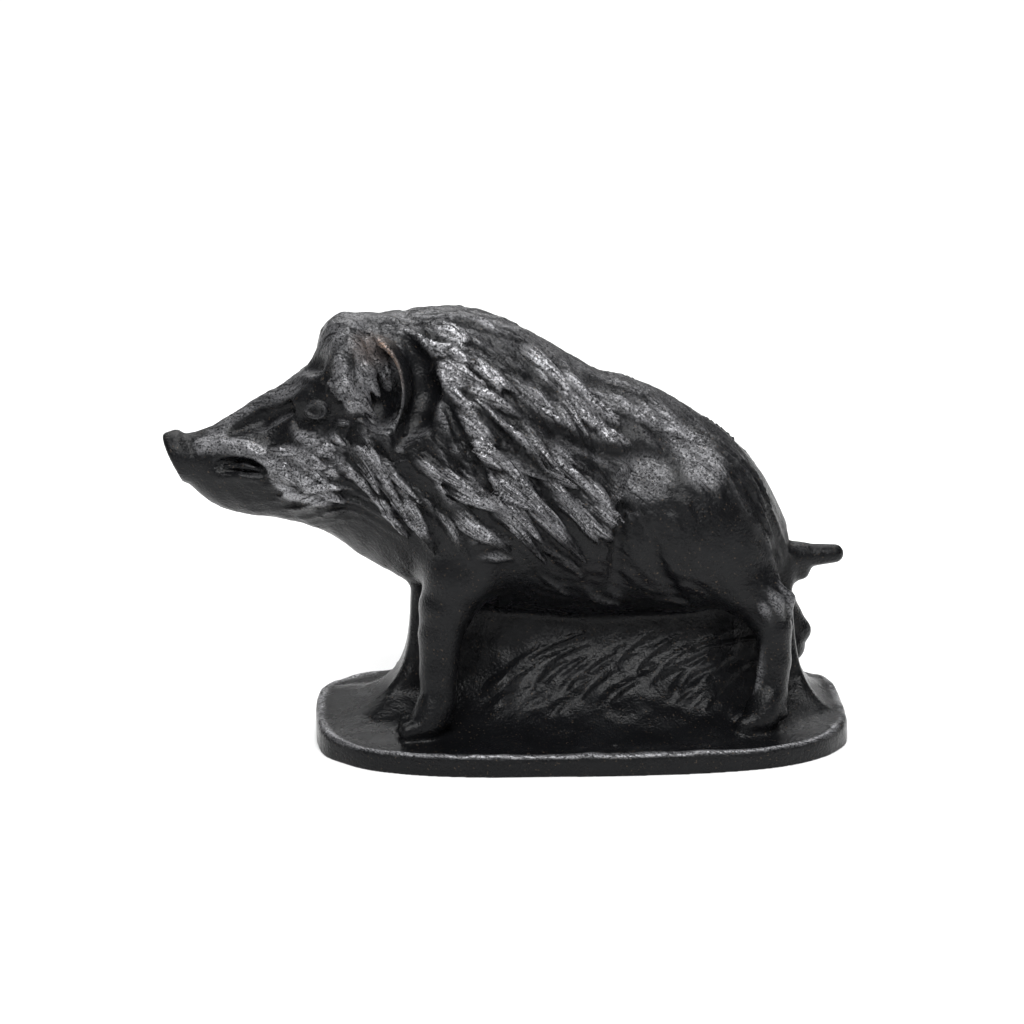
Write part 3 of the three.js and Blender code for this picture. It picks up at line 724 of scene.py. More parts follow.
@dataclass(frozen=True)
class Legs:
    """Four legs with cloven hooves and dewclaws: the far hind leg stands further back."""

    fore: tuple[tuple[float, float, float, float], ...] = (
        (-22, -11, 62, 10.5),
        (-30, -14.5, 44, 9.0),
        (-33.2, -15.8, 36.5, 6.7),
        (-34.8, -16.8, 30, 5.3),
        (-35.4, -18.3, 21, 4.5),
        (-35.6, -19.3, 14, 4.3),
        (-37.2, -20.2, 10.5, 4.6),
    )
    hind: tuple[tuple[float, float, float, float], ...] = (
        (30, -9, 52, 12),
        (39.5, -13, 40, 8.0),
        (43.4, -14.6, 34.5, 5.6),
        (45.6, -15.8, 30, 4.5),
        (46, -17, 22, 3.9),
        (45.2, -18.3, 14, 3.8),
        (43.4, -19.6, 10.5, 4.6),
    )
    far_hind: tuple[tuple[float, float, float, float], ...] = (
        (30, -9, 52, 12),
        (39.5, -13, 40, 8.0),
        (44.4, -14.6, 34.5, 5.6),
        (48.8, -15.8, 30, 4.6),
        (52.6, -16.8, 22, 4.2),
        (53.8, -18.3, 14, 4.0),
        (51.0, -19.6, 10.5, 4.6),
    )
    blend: float = 0.8
    # the hoof's two toes and its dewclaw, about the hoof's place in plan
    foot_parts: tuple[Limb, Limb, Limb] = (
        Limb(((1.4, 0, 13.0, 3.2), (0.4, -1.6, 8.8, 2.9), (-4.4, -2.9, 7.8, 2.2))),
        Limb(((1.4, 0, 13.0, 3.2), (0.4, 1.6, 8.8, 2.9), (-4.4, 2.3, 7.8, 2.2))),
        Limb(((4.4, 1.0, 12.5, 0.9), (5.3, 0.2, 9.4, 1.3))),
    )
    fore_hoof: tuple[float, float] = (-38.6, -20.8)
    hind_hoof: tuple[float, float] = (42.6, -20.2)
    far_hoof: tuple[float, float] = (49.4, -20.2)
    far_hock: Ellipsoid = Ellipsoid((55.2, -16.5, 18.6), (4, 3.4, 3.4))

    def leg(self, p: Point, stations: tuple, hoof: tuple[float, float]) -> Array:
        """One leg: its chain joined to two toes and a dewclaw.

        Args:
            p: The points, mirrored onto the near side.
            stations: The leg's stations.
            hoof: The hoof's place in plan.

        Returns:
            The distances.
        """
        outer, inner, claw = (part.moved(*hoof).distance(p) for part in self.foot_parts)
        foot = soften(soften(outer, inner, 0.5), claw, 0.8)
        return soften(Limb(stations, self.blend).distance(p), foot, 1.5)

    def distance(self, p: Point) -> Array:
        """The fore legs, and the hind leg of the point's own side, chosen by the sign of y."""
        q = near_side(p)
        near = self.leg(q, self.hind, self.hind_hoof)
        far = soften(self.leg(q, self.far_hind, self.far_hoof), self.far_hock.distance(q), 2)
        return np.minimum(self.leg(q, self.fore, self.fore_hoof), np.where(p[1] < 0, near, far))


@dataclass(frozen=True)
class Ground:
    """The base with its domed top, and the wall under the belly with grass in relief."""

    length: float = 130.0
    width: float = 72.0
    edge_height: float = 4.9
    edge_rounding: float = 1.2
    corner_power: float = 3.2
    dome_height: float = 2.4
    # the worn bead along the edge: its place in from the side and below the top, and its radius
    bead_inset: float = 1.1
    bead_drop: float = 0.15
    bead_radius: float = 0.55
    side_ripple: Ripple = Ripple(0.12, 14, 3.7)
    top_ripple: Ripple = Ripple(0.15, 9, 8.1)
    bead_ripple: Ripple = Ripple(0.25, 7, 14.9)
    # the wall: its half width, its ends, and how far and fast its foot flares out
    wall_half: float = 4.0
    wall_front: float = -41.5
    wall_rear: float = 53.5
    wall_top: float = 45.0
    wall_foot: float = 6.0
    rear_lean: float = 0.06
    flare_at_ends: tuple[float, float] = (12.0, 4.5)
    flare_between_legs: tuple[float, float] = (25.0, 10.0)
    flare_at_front: tuple[float, float] = (18.0, 6.0)
    flare_at_rear: tuple[float, float] = (9.0, 5.0)
    end_fall: float = 6.0
    wall_ripples: tuple[Ripple, Ripple] = (Ripple(0.35, 12, 21.3), Ripple(0.15, 4.5, 5.9))
    # the blades of grass, in two bands of which the second is smaller
    blades: int = 16
    blade_length: float = 19.0
    blade_half: float = 1.6
    blade_rise: float = 0.95
    blade_heading: float = 52.0
    blade_bend: float = 0.045
    grass_start: float = -27.0
    grass_span: float = 56.0

    def side(self, p: Point) -> tuple[Array, Array]:
        """The base's outline |x/a|^n + |y/b|^n = rho^n, and the distance (1 - 1 / rho) r to rho = 1."""
        n = self.corner_power
        rho = ((2 * np.abs(p[0]) / self.length) ** n + (2 * np.abs(p[1]) / self.width) ** n) ** (1 / n)
        return rho, (1 - 1 / np.maximum(rho, 0.05)) * np.hypot(p[0], p[1])

    def base(self, p: Point) -> Array:
        """A plate with a rounded edge and a bead, under a shallow dome: each distance less its ripple.

        Args:
            p: The points.

        Returns:
            The distances.
        """
        rho, side = self.side(p)
        side = side - self.side_ripple.at(p)
        dome = self.dome_height * np.clip(1 - rho, 0, 1)
        top = p[2] - self.edge_height - dome - self.top_ripple.at(p)
        plate = -soften(-side, -top, self.edge_rounding)
        bead = np.hypot(side + self.bead_inset, top + self.bead_drop) - self.bead_radius
        return np.maximum(soften(plate, bead - self.bead_ripple.at(p), 0.8), -p[2])

    def edge(self, p: Point) -> Array:
        """How close a point is to the top edge, where a highlight is painted: 1 on it, 0 from 1.3 mm away."""
        side = self.side(p)[1]
        return 1 - ramp(np.hypot(side + self.bead_inset, p[2] - self.edge_height - 0.4), 0.5, 1.3)

    def grass(self, p: Point) -> Array:
        """The height of bent blades: each is a leaf that follows a parabola to a point.

        Args:
            p: The points.

        Returns:
            Heights in millimetres.
        """
        height = np.zeros_like(p[0])
        for band in range(2):
            for i in range(self.blades):
                n = i + 100 * band
                heading = math.radians(self.blade_heading + 16 * (noise(n + 60.3) - 0.5) - 8 * band)
                c, s = math.cos(heading), math.sin(heading)
                dx = p[0] - (self.grass_start + self.grass_span * (i + 0.5 + 0.5 * band) / self.blades)
                dz = p[2] - (9 + 8 * noise(n + 50.7))
                along = dx * c + dz * s
                across = dx * s - dz * c - 0.5 * self.blade_bend * along * along
                q = along / (self.blade_length * vary(n + 70.9, 0.3) * (1 - 0.2 * band))
                profile = leaf(q, across, self.blade_half * (1 - 0.25 * band))[1]
                ridge = self.blade_rise * profile * ramp(q, 0, 0.3) * (1 - 0.35 * q) * (1 - 0.3 * band)
                height = np.maximum(height, np.where((q > 0) & (q < 1), ridge, 0))
        return height

    def wall(self, p: Point) -> Array:
        """A wall whose half width is wall_half + reach * exp(-h / fall), h above its foot.

        Args:
            p: The points.

        Returns:
            The distances.
        """
        h = np.maximum(p[2] - self.wall_foot, 0)
        between = ramp(p[0], -37, -11) * ramp(p[0] * -1, -46, -28)
        reach, fall = (a + (b - a) * between for a, b in zip(self.flare_at_ends, self.flare_between_legs))
        spread = reach * np.exp(-h / fall)
        relief = self.grass(p) + self.wall_ripples[0].at(p) + self.wall_ripples[1].at(p)
        sides = (np.abs(p[1]) - self.wall_half - spread) / np.hypot(1, spread / fall) - relief
        front, rear = (reach * np.exp(-h / fall) for reach, fall in (self.flare_at_front, self.flare_at_rear))
        front_end = (self.wall_front - front - p[0]) / np.hypot(1, front / self.end_fall)
        rear_end = (p[0] - self.wall_rear - rear + self.rear_lean * h) / np.hypot(1, rear / self.end_fall)
        return np.maximum(-soften(-front_end, soften(-rear_end, -sides, 2), 2), p[2] - self.wall_top)

    def distance(self, p: Point) -> Array:
        """The wall joined to the base, cut flat at the underside."""
        return np.maximum(soften(self.wall(p), self.base(p), 3), -p[2])


@dataclass
class Boar:
    """The whole form: trunk, masses, coat, face, ears, legs, tail and ground."""

    trunk: Trunk = field(default_factory=Trunk)
    face: Face = field(default_factory=Face)
    ear: Ear = field(default_factory=Ear)
    legs: Legs = field(default_factory=Legs)
    ground: Ground = field(default_factory=Ground)
    # shoulder, haunch, cheek, brow, poll and the hair before the ear, each with its fillet
    masses: tuple[Step, ...] = (
        Step(Ellipsoid((-20, -12.5, 64), (15, 11.5, 22), -14), 6),
        Step(Ellipsoid((26, -9.5, 54), (18, 13, 20)), 6),
        Step(Ellipsoid((-60, -8, 70), (13, 7.5, 11)), 4),
        Step(Ellipsoid((-63.4, -7.2, 87.8), (6.2, 3.9, 3.4), -25), 6),
        Step(Ellipsoid((-55.7, 0, 97.3), (7.6, 9, 8.3)), 3),
        Step(Ellipsoid((-56.6, -10.6, 94), (3.8, 4.0, 8.6), 8), 5),
    )
    # folds before the thigh and beside the tail
    folds: tuple[Limb, ...] = (
        Limb(((9.8, -19.8, 70, 1.2), (7.9, -22.8, 64.5, 2.2), (7.4, -23.8, 54.8, 2.4), (6.8, -20, 42, 1.6))),
        Limb(((13.4, -22.8, 58, 0.8), (16.0, -22.6, 49.5, 1.6), (21.6, -18.4, 38, 1.6))),
        Limb(((41, -16.5, 66, 0.8), (46.0, -14.0, 57, 1.2), (48.4, -11.0, 48, 1.0))),
    )
    # deep partings of the mane and the sharp line of the flank's fold, cut through the locks
    partings: tuple[Limb, ...] = (
        Limb(
            (
                (-19.3, -16.8, 89.8, 0.8),
                (-13.6, -20.2, 85.5, 1.6),
                (-7.3, -20.4, 80.6, 2.2),
                (2.7, -20.0, 76.5, 2.4),
                (12.8, -18.2, 73.4, 1.8),
                (18.0, -17.2, 73.0, 0.6),
            )
        ),
        Limb(((-1.8, -21.8, 75.5, 1.2), (2.9, -22.4, 72.5, 2.1), (6.8, -22.0, 68.4, 1.5))),
        Limb(
            (
                (-25.3, -20.6, 86.5, 0.7),
                (-19.6, -23.6, 79.9, 1.4),
                (-13.8, -25.6, 75.1, 1.4),
                (-8.6, -26.0, 70.7, 0.5),
            )
        ),
        Limb(
            (
                (-27.3, -10.6, 99.8, 0.7),
                (-20.3, -13.4, 96.8, 1.3),
                (-13.2, -14.0, 92.4, 1.5),
                (-6.1, -14.0, 88.1, 0.6),
            )
        ),
        Limb(((9.4, -19.8, 69, 0.6), (8.2, -21.6, 62, 1.2), (7.5, -21.9, 54, 1.4), (6.8, -19.4, 44, 0.8))),
        Limb(
            (
                (-33.4, -17.6, 88.0, 0.8),
                (-30.0, -22.6, 80.0, 1.5),
                (-25.4, -25.4, 72.5, 1.3),
                (-21.4, -26.2, 66.0, 0.5),
            )
        ),
    )
    # small tufts on the back of the thigh and on the shoulder, and the hind leg's sinew
    tufts: tuple[Limb, ...] = (
        Limb(((42.9, -19.4, 41.6, 0.6), (45.8, -19.4, 37.8, 1.7), (47.0, -19.0, 34.0, 0.5))),
        Limb(((46.0, -16.8, 42.0, 0.6), (48.8, -16.8, 37.6, 1.8), (49.6, -16.6, 33.6, 0.6))),
        Limb(((40.8, -19.8, 39.4, 0.5), (42.9, -20.2, 36.2, 1.2), (44.4, -19.8, 33.0, 0.4))),
        Limb(((-27.4, -23.6, 55.4, 0.4), (-23.4, -25.5, 56.5, 0.9), (-19.2, -24.6, 55.2, 0.5))),
        Limb(((-26.5, -23.0, 51.4, 0.3), (-21.6, -23.6, 51.7, 1.2), (-18.4, -23.4, 51.2, 0.5))),
        Limb(((43.4, -19.0, 28.3, 0.5), (42.6, -19.2, 20.5, 0.9), (41.0, -20.8, 13.6, 0.6))),
    )
    tail: tuple[Step, Step] = (
        Step(Limb(((46, 0, 43.0, 4.7), (53, 0, 43.2, 3.1), (62.2, 0, 43.7, 2.3)), 2), 2),
        Step(Limb(((48, 0, 39, 3.6), (54.0, 0, 39.4, 2.2)), 2), 2),
    )
    # painted highlights on the poll, the flank and the ridge down to the hip
    highlights: tuple[PaintedHighlight, ...] = (
        PaintedHighlight(Ellipsoid((-57.5, -5, 101), (5, 7, 4)), 0.34, 0, 4),
        PaintedHighlight(Ellipsoid((13.5, -20, 69.5), (5, 4, 3.5)), 0.35, 0, 4),
        PaintedHighlight(Limb(((18.5, -8.5, 84.5, 1.5), (24.5, -12.5, 77.0, 2.5), (28.5, -17.0, 71.0, 3.0))), 0.5, 0, 4),
    )
    skin_depth: float = 4.0
    ripples: tuple[Ripple, Ripple] = (Ripple(0.12, 6, 1.3), Ripple(0.06, 2.3, 4.4))

    def __post_init__(self) -> None:
        """Makes the coat for this trunk."""
        self.coat = Coat(self.trunk)

    def parting(self, p: Point) -> Array:
        """The least distance to a parting, for points mirrored onto the near side."""
        return np.minimum.reduce([parting.distance(p) for parting in self.partings])

    def body(self, p: Point) -> Array:
        """The trunk and its masses, without hair, limbs or face."""
        return work(self.trunk.distance(p), near_side(p), self.masses)

    def distance(self, p: Point) -> Array:
        """The casting's distance field.

        Args:
            p: The points, in millimetres.

        Returns:
            The distances, negative inside the iron.
        """
        near = near_side(p)
        result = work(self.body(p), near, tuple(Step(fold, 3, cut=True) for fold in self.folds))
        skin = np.nonzero(np.abs(result) < self.skin_depth)[0]
        q = tuple(v[skin] for v in p)
        result[skin] -= self.coat.comb(q)[0] + self.ripples[0].at(q) + self.ripples[1].at(q)
        result = soften(carve(result, self.parting(near), 1.4), self.legs.distance(p), 4)
        result = work(result, near, tuple(Step(tuft, 1.5) for tuft in self.tufts))
        result = self.face.add(soften(result, self.face.snout(p), 2), near)
        result = work(self.ear.add(result, self.ear.place(p)), p, self.tail)
        return soften(result, self.ground.distance(p), 2.4)


@dataclass(frozen=True)
class Sculptor:
    """Meshes a distance field by surface nets, worked out only near its surface."""

    low: Triple = (-104.0, -38.25, -1.25)
    high: Triple = (70.0, 38.25, 111.0)
    step: float = 0.45
    block: int = 4
    margin: float = 1.5
    chunk: int = 400_000

    def sample(self, boar: Boar) -> Array:
        """Field values on the fine grid: worked out in blocks near the surface, and only signed elsewhere.

        Args:
            boar: The form.

        Returns:
            The values on the grid.
        """
        side = self.step * self.block
        blocks = [math.ceil((b - a) / side) for a, b in zip(self.low, self.high)]
        size = [n * self.block + 1 for n in blocks]
        middles = [a + side * (np.arange(n) + 0.5) for a, n in zip(self.low, blocks)]
        middles = np.meshgrid(*middles, indexing="ij")
        coarse = boar.distance(tuple(m.ravel().astype(np.float32) for m in middles)).reshape(blocks)
        values = np.full(size, side, np.float32)
        signs = np.where(coarse < 0, -side, side)
        for axis in range(3):
            signs = np.repeat(signs, self.block, axis)
        values[:-1, :-1, :-1] = signs
        wanted = np.zeros(size, bool)
        at = np.nonzero(np.abs(coarse) < self.margin * side)
        offsets = np.arange(self.block + 1)
        cells = [at[i][:, None] * self.block + offsets[None, :] for i in range(3)]
        wanted[cells[0][:, :, None, None], cells[1][:, None, :, None], cells[2][:, None, None, :]] = True
        index = np.nonzero(wanted)
        points = [(self.low[i] + self.step * index[i]).astype(np.float32) for i in range(3)]
        found = np.empty(len(points[0]), np.float32)
        for start in range(0, len(found), self.chunk):
            part = slice(start, start + self.chunk)
            found[part] = boar.distance(tuple(v[part] for v in points))
        values[index] = found
        return values

    def mesh(self, values: Array) -> tuple[Array, Array]:
        """One vertex in each crossed cell, at the mean of its edge crossings, one quad on each crossed edge.

        Args:
            values: The field on the grid.

        Returns:
            Vertices in millimetres, and quads that face outwards.
        """
        inside = values < 0
        cells = [n - 1 for n in values.shape]
        count = np.zeros(cells, np.int8)
        for corner in range(8):
            i, j, k = corner & 1, corner >> 1 & 1, corner >> 2
            count += inside[i : cells[0] + i, j : cells[1] + j, k : cells[2] + k]
        crossed = np.nonzero((count > 0) & (count < 8))
        number = np.full(cells, -1, np.int64)
        number[crossed] = np.arange(len(crossed[0]))
        base = np.stack(crossed, 1)
        total, hits = np.zeros((len(base), 3)), np.zeros(len(base))
        quads = []
        for axis in range(3):
            first, second = (axis + 1) % 3, (axis + 2) % 3
            for u in (0, 1):
                for v in (0, 1):
                    a = base.copy()
                    a[:, first] += u
                    a[:, second] += v
                    b = a.copy()
                    b[:, axis] += 1
                    fa, fb = values[tuple(a.T)], values[tuple(b.T)]
                    cut = (fa < 0) != (fb < 0)
                    t = np.where(cut, fa / np.where(cut, fa - fb, 1), 0)
                    spot = a.astype(float)
                    spot[:, axis] += t
                    total[cut] += spot[cut]
                    hits[cut] += 1
            low = [slice(1, n) for n in cells]
            high = list(low)
            low[axis], high[axis] = slice(0, cells[axis]), slice(1, cells[axis] + 1)
            edge = np.nonzero(inside[tuple(low)] != inside[tuple(high)])
            leaving = inside[tuple(low)][edge]
            origin = np.stack(edge, 1)
            origin[:, first] += 1
            origin[:, second] += 1
            around = []
            for u, v in ((-1, -1), (0, -1), (0, 0), (-1, 0)):
                cell = origin.copy()
                cell[:, first] += u
                cell[:, second] += v
                around.append(number[tuple(cell.T)])
            quad = np.stack(around, 1)
            quad[~leaving] = quad[~leaving][:, ::-1]
            quads.append(quad)
        vertices = np.array(self.low) + self.step * total / hits[:, None]
        return vertices, np.concatenate(quads)


def srgb(code: str) -> tuple[float, float, float, float]:
    """Turns an sRGB hex colour into linear values with alpha 1.

    Args:
        code: Six hex digits.

    Returns:
        Red, green, blue and alpha.
    """
    values = [int(code[i : i + 2], 16) / 255 for i in (0, 2, 4)]
    linear = [v / 12.92 if v <= 0.04045 else ((v + 0.055) / 1.055) ** 2.4 for v in values]
    return linear[0], linear[1], linear[2], 1.0


def add_node(
    tree: bpy.types.NodeTree, kind: str, settings: dict | None = None, **links: object
) -> bpy.types.Node:
    """Adds one node, with its settings and with its sockets linked or set.

    Args:
        tree: The material's or world's node tree.
        kind: The node's type name.
        settings: Attributes of the node.
        links: Socket names, with spaces as underscores, and for each an output socket or a plain value.

    Returns:
        The node.
    """
    node = tree.nodes.new(kind)
    for name, value in (settings or {}).items():
        setattr(node, name, value)
    for name, value in links.items():
        key = int(name[1:]) if name[0] == "i" and name[1:].isdigit() else name.replace("_", " ")
        if isinstance(value, bpy.types.NodeSocket):
            tree.links.new(value, node.inputs[key])
        else:
            node.inputs[key].default_value = value
    return node


@dataclass(frozen=True)
class LacqueredIron:
    """Sand-cast iron under thin black lacquer: near black, satin, worn bright on the locks, and with
    highlights painted on in bright grey.
    """

    name: str = "black_lacquered_sand_cast_iron"
    body: str = "080809"
    bloom: str = "111214"
    # the bright grey of the painted highlights and of the wear on the locks
    highlight_and_wear_grey: str = "919194"
    worn: str = "5e4d42"
    fleck: str = "3b332b"
    roughness: tuple[float, float] = (0.20, 0.33)
    # roughness and metal where highlights are painted and where the locks are worn
    highlight_and_wear_roughness: float = 0.05
    specular: tuple[float, float] = (0.15, 0.75)
    highlight_and_wear_metal: float = 0.85
    # in millimetres: the sand's grain, pits and flecks are about 0.3, and are drawn coarser so that they show
    grain: float = 0.7
    pit: float = 0.55
    dust: float = 0.55
    patch: float = 9.0
    hair: float = 0.8
    grain_depth: float = 0.24
    hair_depth: float = 0.22

    def material(self) -> bpy.types.Material:
        """Builds the material.

        Returns:
            The material, which reads Object coordinates and the mesh's own attributes.
        """
        material = bpy.data.materials.new(self.name)
        material.use_nodes = True
        tree = material.node_tree
        tree.nodes.clear()
        place = add_node(tree, "ShaderNodeTexCoord").outputs["Object"]
        comb, hairy, highlight_and_wear, wear = (
            add_node(tree, "ShaderNodeAttribute", {"attribute_name": name}).outputs[output]
            for name, output in (("comb", "Vector"), ("hairy", "Fac"), ("highlight_and_wear", "Fac"), ("wear", "Fac"))
        )
        noises = (
            (place, self.grain * MM, 3.0, 0.6),
            (place, self.patch * MM, 4.0, 0.6),
            (comb, self.hair, 2.0, 0.5),
            (place, self.pit * MM, 3.0, 0.75),
            (place, self.dust * MM, 1.0, 0.5),
        )
        grain, patch, strand, pit, dust = (
            add_node(
                tree, "ShaderNodeTexNoise", Vector=where, Scale=1 / size, Detail=detail, Roughness=rough
            ).outputs["Fac"]
            for where, size, detail, rough in noises
        )
        gloss, pitted, streaked, dusted = (
            add_node(
                tree,
                "ShaderNodeMapRange",
                Value=value,
                From_Min=low,
                From_Max=high,
                To_Min=least,
                To_Max=most,
            ).outputs[0]
            for value, low, high, least, most in (
                (patch, 0.35, 0.65, *self.roughness),
                (pit, 0.39, 0.54, 0.0, 1.0),
                (strand, 0.30, 0.52, 0.0, 1.0),
                (dust, 0.70, 0.74, 0.0, 1.0),
            )
        )
        multiply = {"operation": "MULTIPLY"}
        patchy = add_node(tree, "ShaderNodeMath", multiply, i0=pitted, i1=streaked).outputs[0]
        # painted highlights, and the wear on the locks, in bright grey, broken by pits and strands
        bright = add_node(tree, "ShaderNodeMath", multiply, i0=patchy, i1=highlight_and_wear).outputs[0]
        bright_marks = add_node(tree, "ShaderNodeMath", multiply, i0=wear, i1=pitted).outputs[0]
        combed = add_node(tree, "ShaderNodeMath", multiply, i0=strand, i1=hairy).outputs[0]
        # painted highlights and worn places both turn metallic, glossier and more specular
        bright_and_worn = add_node(tree, "ShaderNodeMath", {"operation": "MAXIMUM"}, i0=bright, i1=bright_marks).outputs[0]
        metal = add_node(tree, "ShaderNodeMath", multiply, i0=bright_and_worn, i1=self.highlight_and_wear_metal).outputs[0]
        added = {"operation": "MULTIPLY_ADD"}
        matt = add_node(tree, "ShaderNodeMath", added, i0=bright_and_worn, i1=self.highlight_and_wear_roughness, i2=gloss)
        colour = srgb(self.body)
        for amount, code in (
            (patch, self.bloom),
            (bright, self.highlight_and_wear_grey),
            (bright_marks, self.worn),
            (dusted, self.fleck),
        ):
            mix = add_node(
                tree, "ShaderNodeMix", {"data_type": "RGBA"}, i0=amount, i6=colour, i7=srgb(code)
            )
            colour = mix.outputs[2]
        specular = add_node(
            tree, "ShaderNodeMapRange", Value=bright_and_worn, To_Min=self.specular[0], To_Max=self.specular[1]
        )
        fine = add_node(tree, "ShaderNodeBump", Strength=1.0, Distance=self.grain_depth * MM, Height=grain)
        bump = add_node(
            tree,
            "ShaderNodeBump",
            Strength=1.0,
            Distance=self.hair_depth * MM,
            Height=combed,
            Normal=fine.outputs["Normal"],
        )
        shader = add_node(
            tree,
            "ShaderNodeBsdfPrincipled",
            Base_Color=colour,
            Roughness=matt.outputs[0],
            Metallic=metal,
            Specular_IOR_Level=specular.outputs[0],
            Normal=bump.outputs["Normal"],
        )
        add_node(tree, "ShaderNodeOutputMaterial", Surface=shader.outputs["BSDF"])
        return material


@dataclass(frozen=True)
class MattPaper:
    """Uncoated white paper: even, bright and without gloss."""

    name: str = "matt_white_paper"
    colour: str = "f4f4f4"
    roughness: float = 0.9
    specular: float = 0.1

    def material(self) -> bpy.types.Material:
        """Builds the material from the default shader.

        Returns:
            The material.
        """
        material = bpy.data.materials.new(self.name)
        material.use_nodes = True
        shader = material.node_tree.nodes["Principled BSDF"]
        shader.inputs["Base Color"].default_value = srgb(self.colour)
        shader.inputs["Roughness"].default_value = self.roughness
        shader.inputs["Specular IOR Level"].default_value = self.specular
        return material


@dataclass
class Casting:
    """The one piece: the boar and its base as one skin of iron."""

    boar: Boar
    sculptor: Sculptor
    finish: LacqueredIron
    name: str = "boar_casting"
    most_triangles: int = 190_000
    comb_stretch: float = 0.09
    lock_shift: float = 3.7
    hair_reach: tuple[float, float] = (3.0, 4.5)
    # the locks' height and cover over which they are painted bright, for wear and as highlights
    bright_lock_rise: tuple[float, float] = (0.25, 1.7)
    bright_lock_cover: tuple[float, float] = (0.2, 0.6)
    # strengths of the painted highlights on hair that faces up, on the base's edge and on the ear's rim
    top_highlight: float = 0.3
    edge_highlight: float = 0.8
    rim_highlight: float = 0.7
    poll: Triple = (-50.0, -12.0, 100.5)
    poll_wear: float = 0.45

    def build(self) -> bpy.types.Object:
        """Meshes the form, thins it evenly, and gives it its attributes and material.

        Returns:
            The casting's object, at the origin.
        """
        scene = bpy.context.scene
        vertices, quads = self.sculptor.mesh(self.sculptor.sample(self.boar))
        raw = bpy.data.meshes.new(self.name + "_raw")
        raw.from_pydata(vertices * MM, [], quads)
        body = bpy.data.objects.new(self.name + "_raw", raw)
        scene.collection.objects.link(body)
        thin = body.modifiers.new("thin", "DECIMATE")
        thin.ratio = min(1.0, self.most_triangles / (2 * len(quads)))
        bpy.context.view_layer.update()
        mesh = bpy.data.meshes.new_from_object(body.evaluated_get(bpy.context.evaluated_depsgraph_get()))
        bpy.data.objects.remove(body)
        mesh.name = self.name
        self.paint(mesh)
        mesh.polygons.foreach_set("use_smooth", np.ones(len(mesh.polygons), bool))
        mesh.materials.append(self.finish.material())
        piece = bpy.data.objects.new(self.name, mesh)
        scene.collection.objects.link(piece)
        LOG.info("%s: %d vertices, %d faces", self.name, len(mesh.vertices), len(mesh.polygons))
        return piece

    def paint(self, mesh: bpy.types.Mesh) -> None:
        """Stores the combed coordinates, where hair lies, where highlights are painted, and where it is worn.

        The painted highlights are the largest of a ramp on the locks' height, which stands for their wear as
        well, and of the highlights painted on surfaces that face up, on the face, the tufts, the ear's rim,
        the base's edge and the poll, flank and hip. Wear grows towards the ear's rim and the poll.

        Args:
            mesh: The finished mesh, in metres.
        """
        count = len(mesh.vertices)
        flat, normals = np.empty(count * 3, np.float32), np.empty(count * 3, np.float32)
        mesh.vertices.foreach_get("co", flat)
        mesh.vertex_normals.foreach_get("vector", normals)
        p = tuple((flat.reshape(-1, 3) / MM).T.copy())
        near, ear, coat = near_side(p), self.boar.ear, self.boar.coat
        height, along, across, owner = coat.comb(p)
        on_body = 1 - ramp(np.abs(self.boar.body(p)), *self.hair_reach)
        hairy = on_body * coat.cover(p)
        locks = on_body * ramp(height, *self.bright_lock_rise) * ramp(coat.cover(p), *self.bright_lock_cover)
        locks = locks * ramp(self.boar.parting(near), 0.0, 1.6) * ramp(ear.gap.distance(near), 0.0, 1.8)
        rim = ear.rim(ear.place(p))
        # painted highlights on the ear's tufts and on the body's tufts
        highlights = [PaintedHighlight(tuft, 0.6, 0.3, 1.2) for tuft in ear.tufts]
        highlights += [PaintedHighlight(tuft, 0.42, -0.1, 0.45) for tuft in self.boar.tufts]
        # painted highlights, with the locks' part also standing for their wear
        highlight_and_wear = [
            locks,
            # painted highlight on hair that faces up
            self.top_highlight * hairy * ramp(normals[2::3], 0.45, 0.9),
            self.boar.face.bright_marks(near),
            self.edge_highlight * self.boar.ground.edge(p),
            self.rim_highlight * rim,
            *(highlight.at(near) for highlight in (*highlights, *self.boar.highlights)),
        ]
        wear = np.maximum(rim * ramp(p[2], 88, 98), self.poll_wear * (1 - ramp(gap(p, self.poll), 2, 7)))
        comb = np.stack([along * self.comb_stretch, across, owner * self.lock_shift], 1).astype(np.float32)
        mesh.attributes.new("comb", "FLOAT_VECTOR", "POINT").data.foreach_set("vector", comb.ravel())
        for name, values in (("hairy", hairy), ("highlight_and_wear", np.maximum.reduce(highlight_and_wear)), ("wear", wear)):
            attribute = mesh.attributes.new(name, "FLOAT", "POINT")
            attribute.data.foreach_set("value", values.astype(np.float32))


@dataclass(frozen=True)
class SoftBox:
    """A rectangular lamp, in metres and watts: aimed at the boar, or straight down."""

    place: Triple
    size: tuple[float, float]
    power: float
    aimed: bool = True


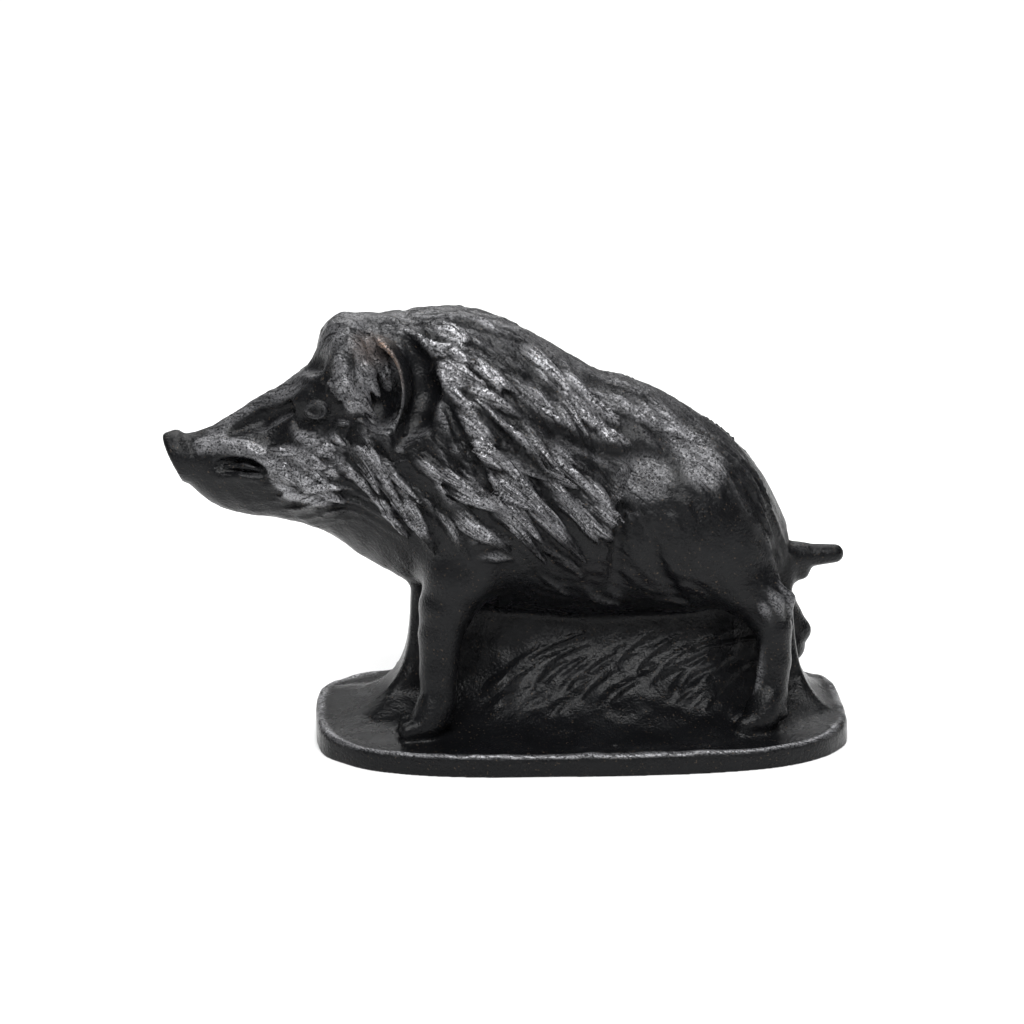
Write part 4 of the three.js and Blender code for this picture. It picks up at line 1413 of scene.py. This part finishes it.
@dataclass(frozen=True)
class Studio:
    """A pale floor, soft boxes overhead and the camera, all in metres."""

    paper: MattPaper = MattPaper()
    floor_half: float = 6.0
    boxes: tuple[SoftBox, ...] = (
        SoftBox((-0.05, -0.60, 0.86), (0.85, 0.45), 15.0),
        SoftBox((-0.02, 0.22, 0.95), (0.60, 0.30), 7.0),
        SoftBox((0.0, 2.20, 1.60), (2.60, 1.10), 48.0, aimed=False),
    )
    aim: Triple = (-0.01, 0.0, 0.07)
    surround: float = 0.13
    focal_length: float = 130.2
    sensor_width: float = 36.0
    target: Triple = (-0.0168, 0.0, 0.0554)
    distance: float = 0.9
    elevation: float = 16.5
    yaw: float = 2.8

    def floor(self) -> None:
        """Lays the white paper at the height of the base's underside."""
        mesh = bpy.data.meshes.new("floor")
        h = self.floor_half
        mesh.from_pydata([(-h, -h, 0), (h, -h, 0), (h, h, 0), (-h, h, 0)], [], [(0, 1, 2, 3)])
        mesh.materials.append(self.paper.material())
        floor = bpy.data.objects.new("floor", mesh)
        bpy.context.scene.collection.objects.link(floor)

    def light(self) -> None:
        """Hangs the soft boxes, two above the boar and one over the paper behind it, and dims the room."""
        for number, box in enumerate(self.boxes):
            lamp = bpy.data.lights.new(f"soft_box_{number + 1}", "AREA")
            lamp.shape = "RECTANGLE"
            lamp.size, lamp.size_y = box.size
            lamp.energy = box.power
            hung = bpy.data.objects.new(lamp.name, lamp)
            hung.location = box.place
            if box.aimed:
                back = Vector(box.place) - Vector(self.aim)
                hung.rotation_euler = back.to_track_quat("Z", "Y").to_euler()
            bpy.context.scene.collection.objects.link(hung)
        world = bpy.data.worlds.new("pale_room")
        world.use_nodes = True
        background = world.node_tree.nodes["Background"]
        background.inputs["Color"].default_value = (1.0, 1.0, 1.0, 1.0)
        background.inputs["Strength"].default_value = self.surround
        bpy.context.scene.world = world

    def camera(self) -> None:
        """Aims a long lens at the target from the photograph's angle."""
        e, a = math.radians(self.elevation), math.radians(self.yaw)
        back = (-math.sin(a) * math.cos(e), -math.cos(a) * math.cos(e), math.sin(e))
        data = bpy.data.cameras.new("camera")
        data.lens = self.focal_length
        data.sensor_width = self.sensor_width
        camera = bpy.data.objects.new("camera", data)
        camera.location = [self.target[i] + self.distance * back[i] for i in range(3)]
        camera.rotation_euler = (math.pi / 2 - e, 0.0, -a)
        bpy.context.scene.collection.objects.link(camera)
        bpy.context.scene.camera = camera

    def build(self) -> None:
        """Builds the floor, lights and camera."""
        self.floor()
        self.light()
        self.camera()
        bpy.context.scene.view_settings.view_transform = "Standard"


def main() -> None:
    """Builds the casting and the studio."""
    logging.basicConfig(level=logging.INFO, format="%(name)s: %(message)s")
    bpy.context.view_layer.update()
    Studio().build()
    piece = Casting(Boar(), Sculptor(), LacqueredIron()).build()
    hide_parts(NODE)
    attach(piece, "root")


if __name__ == "__main__":
    main()
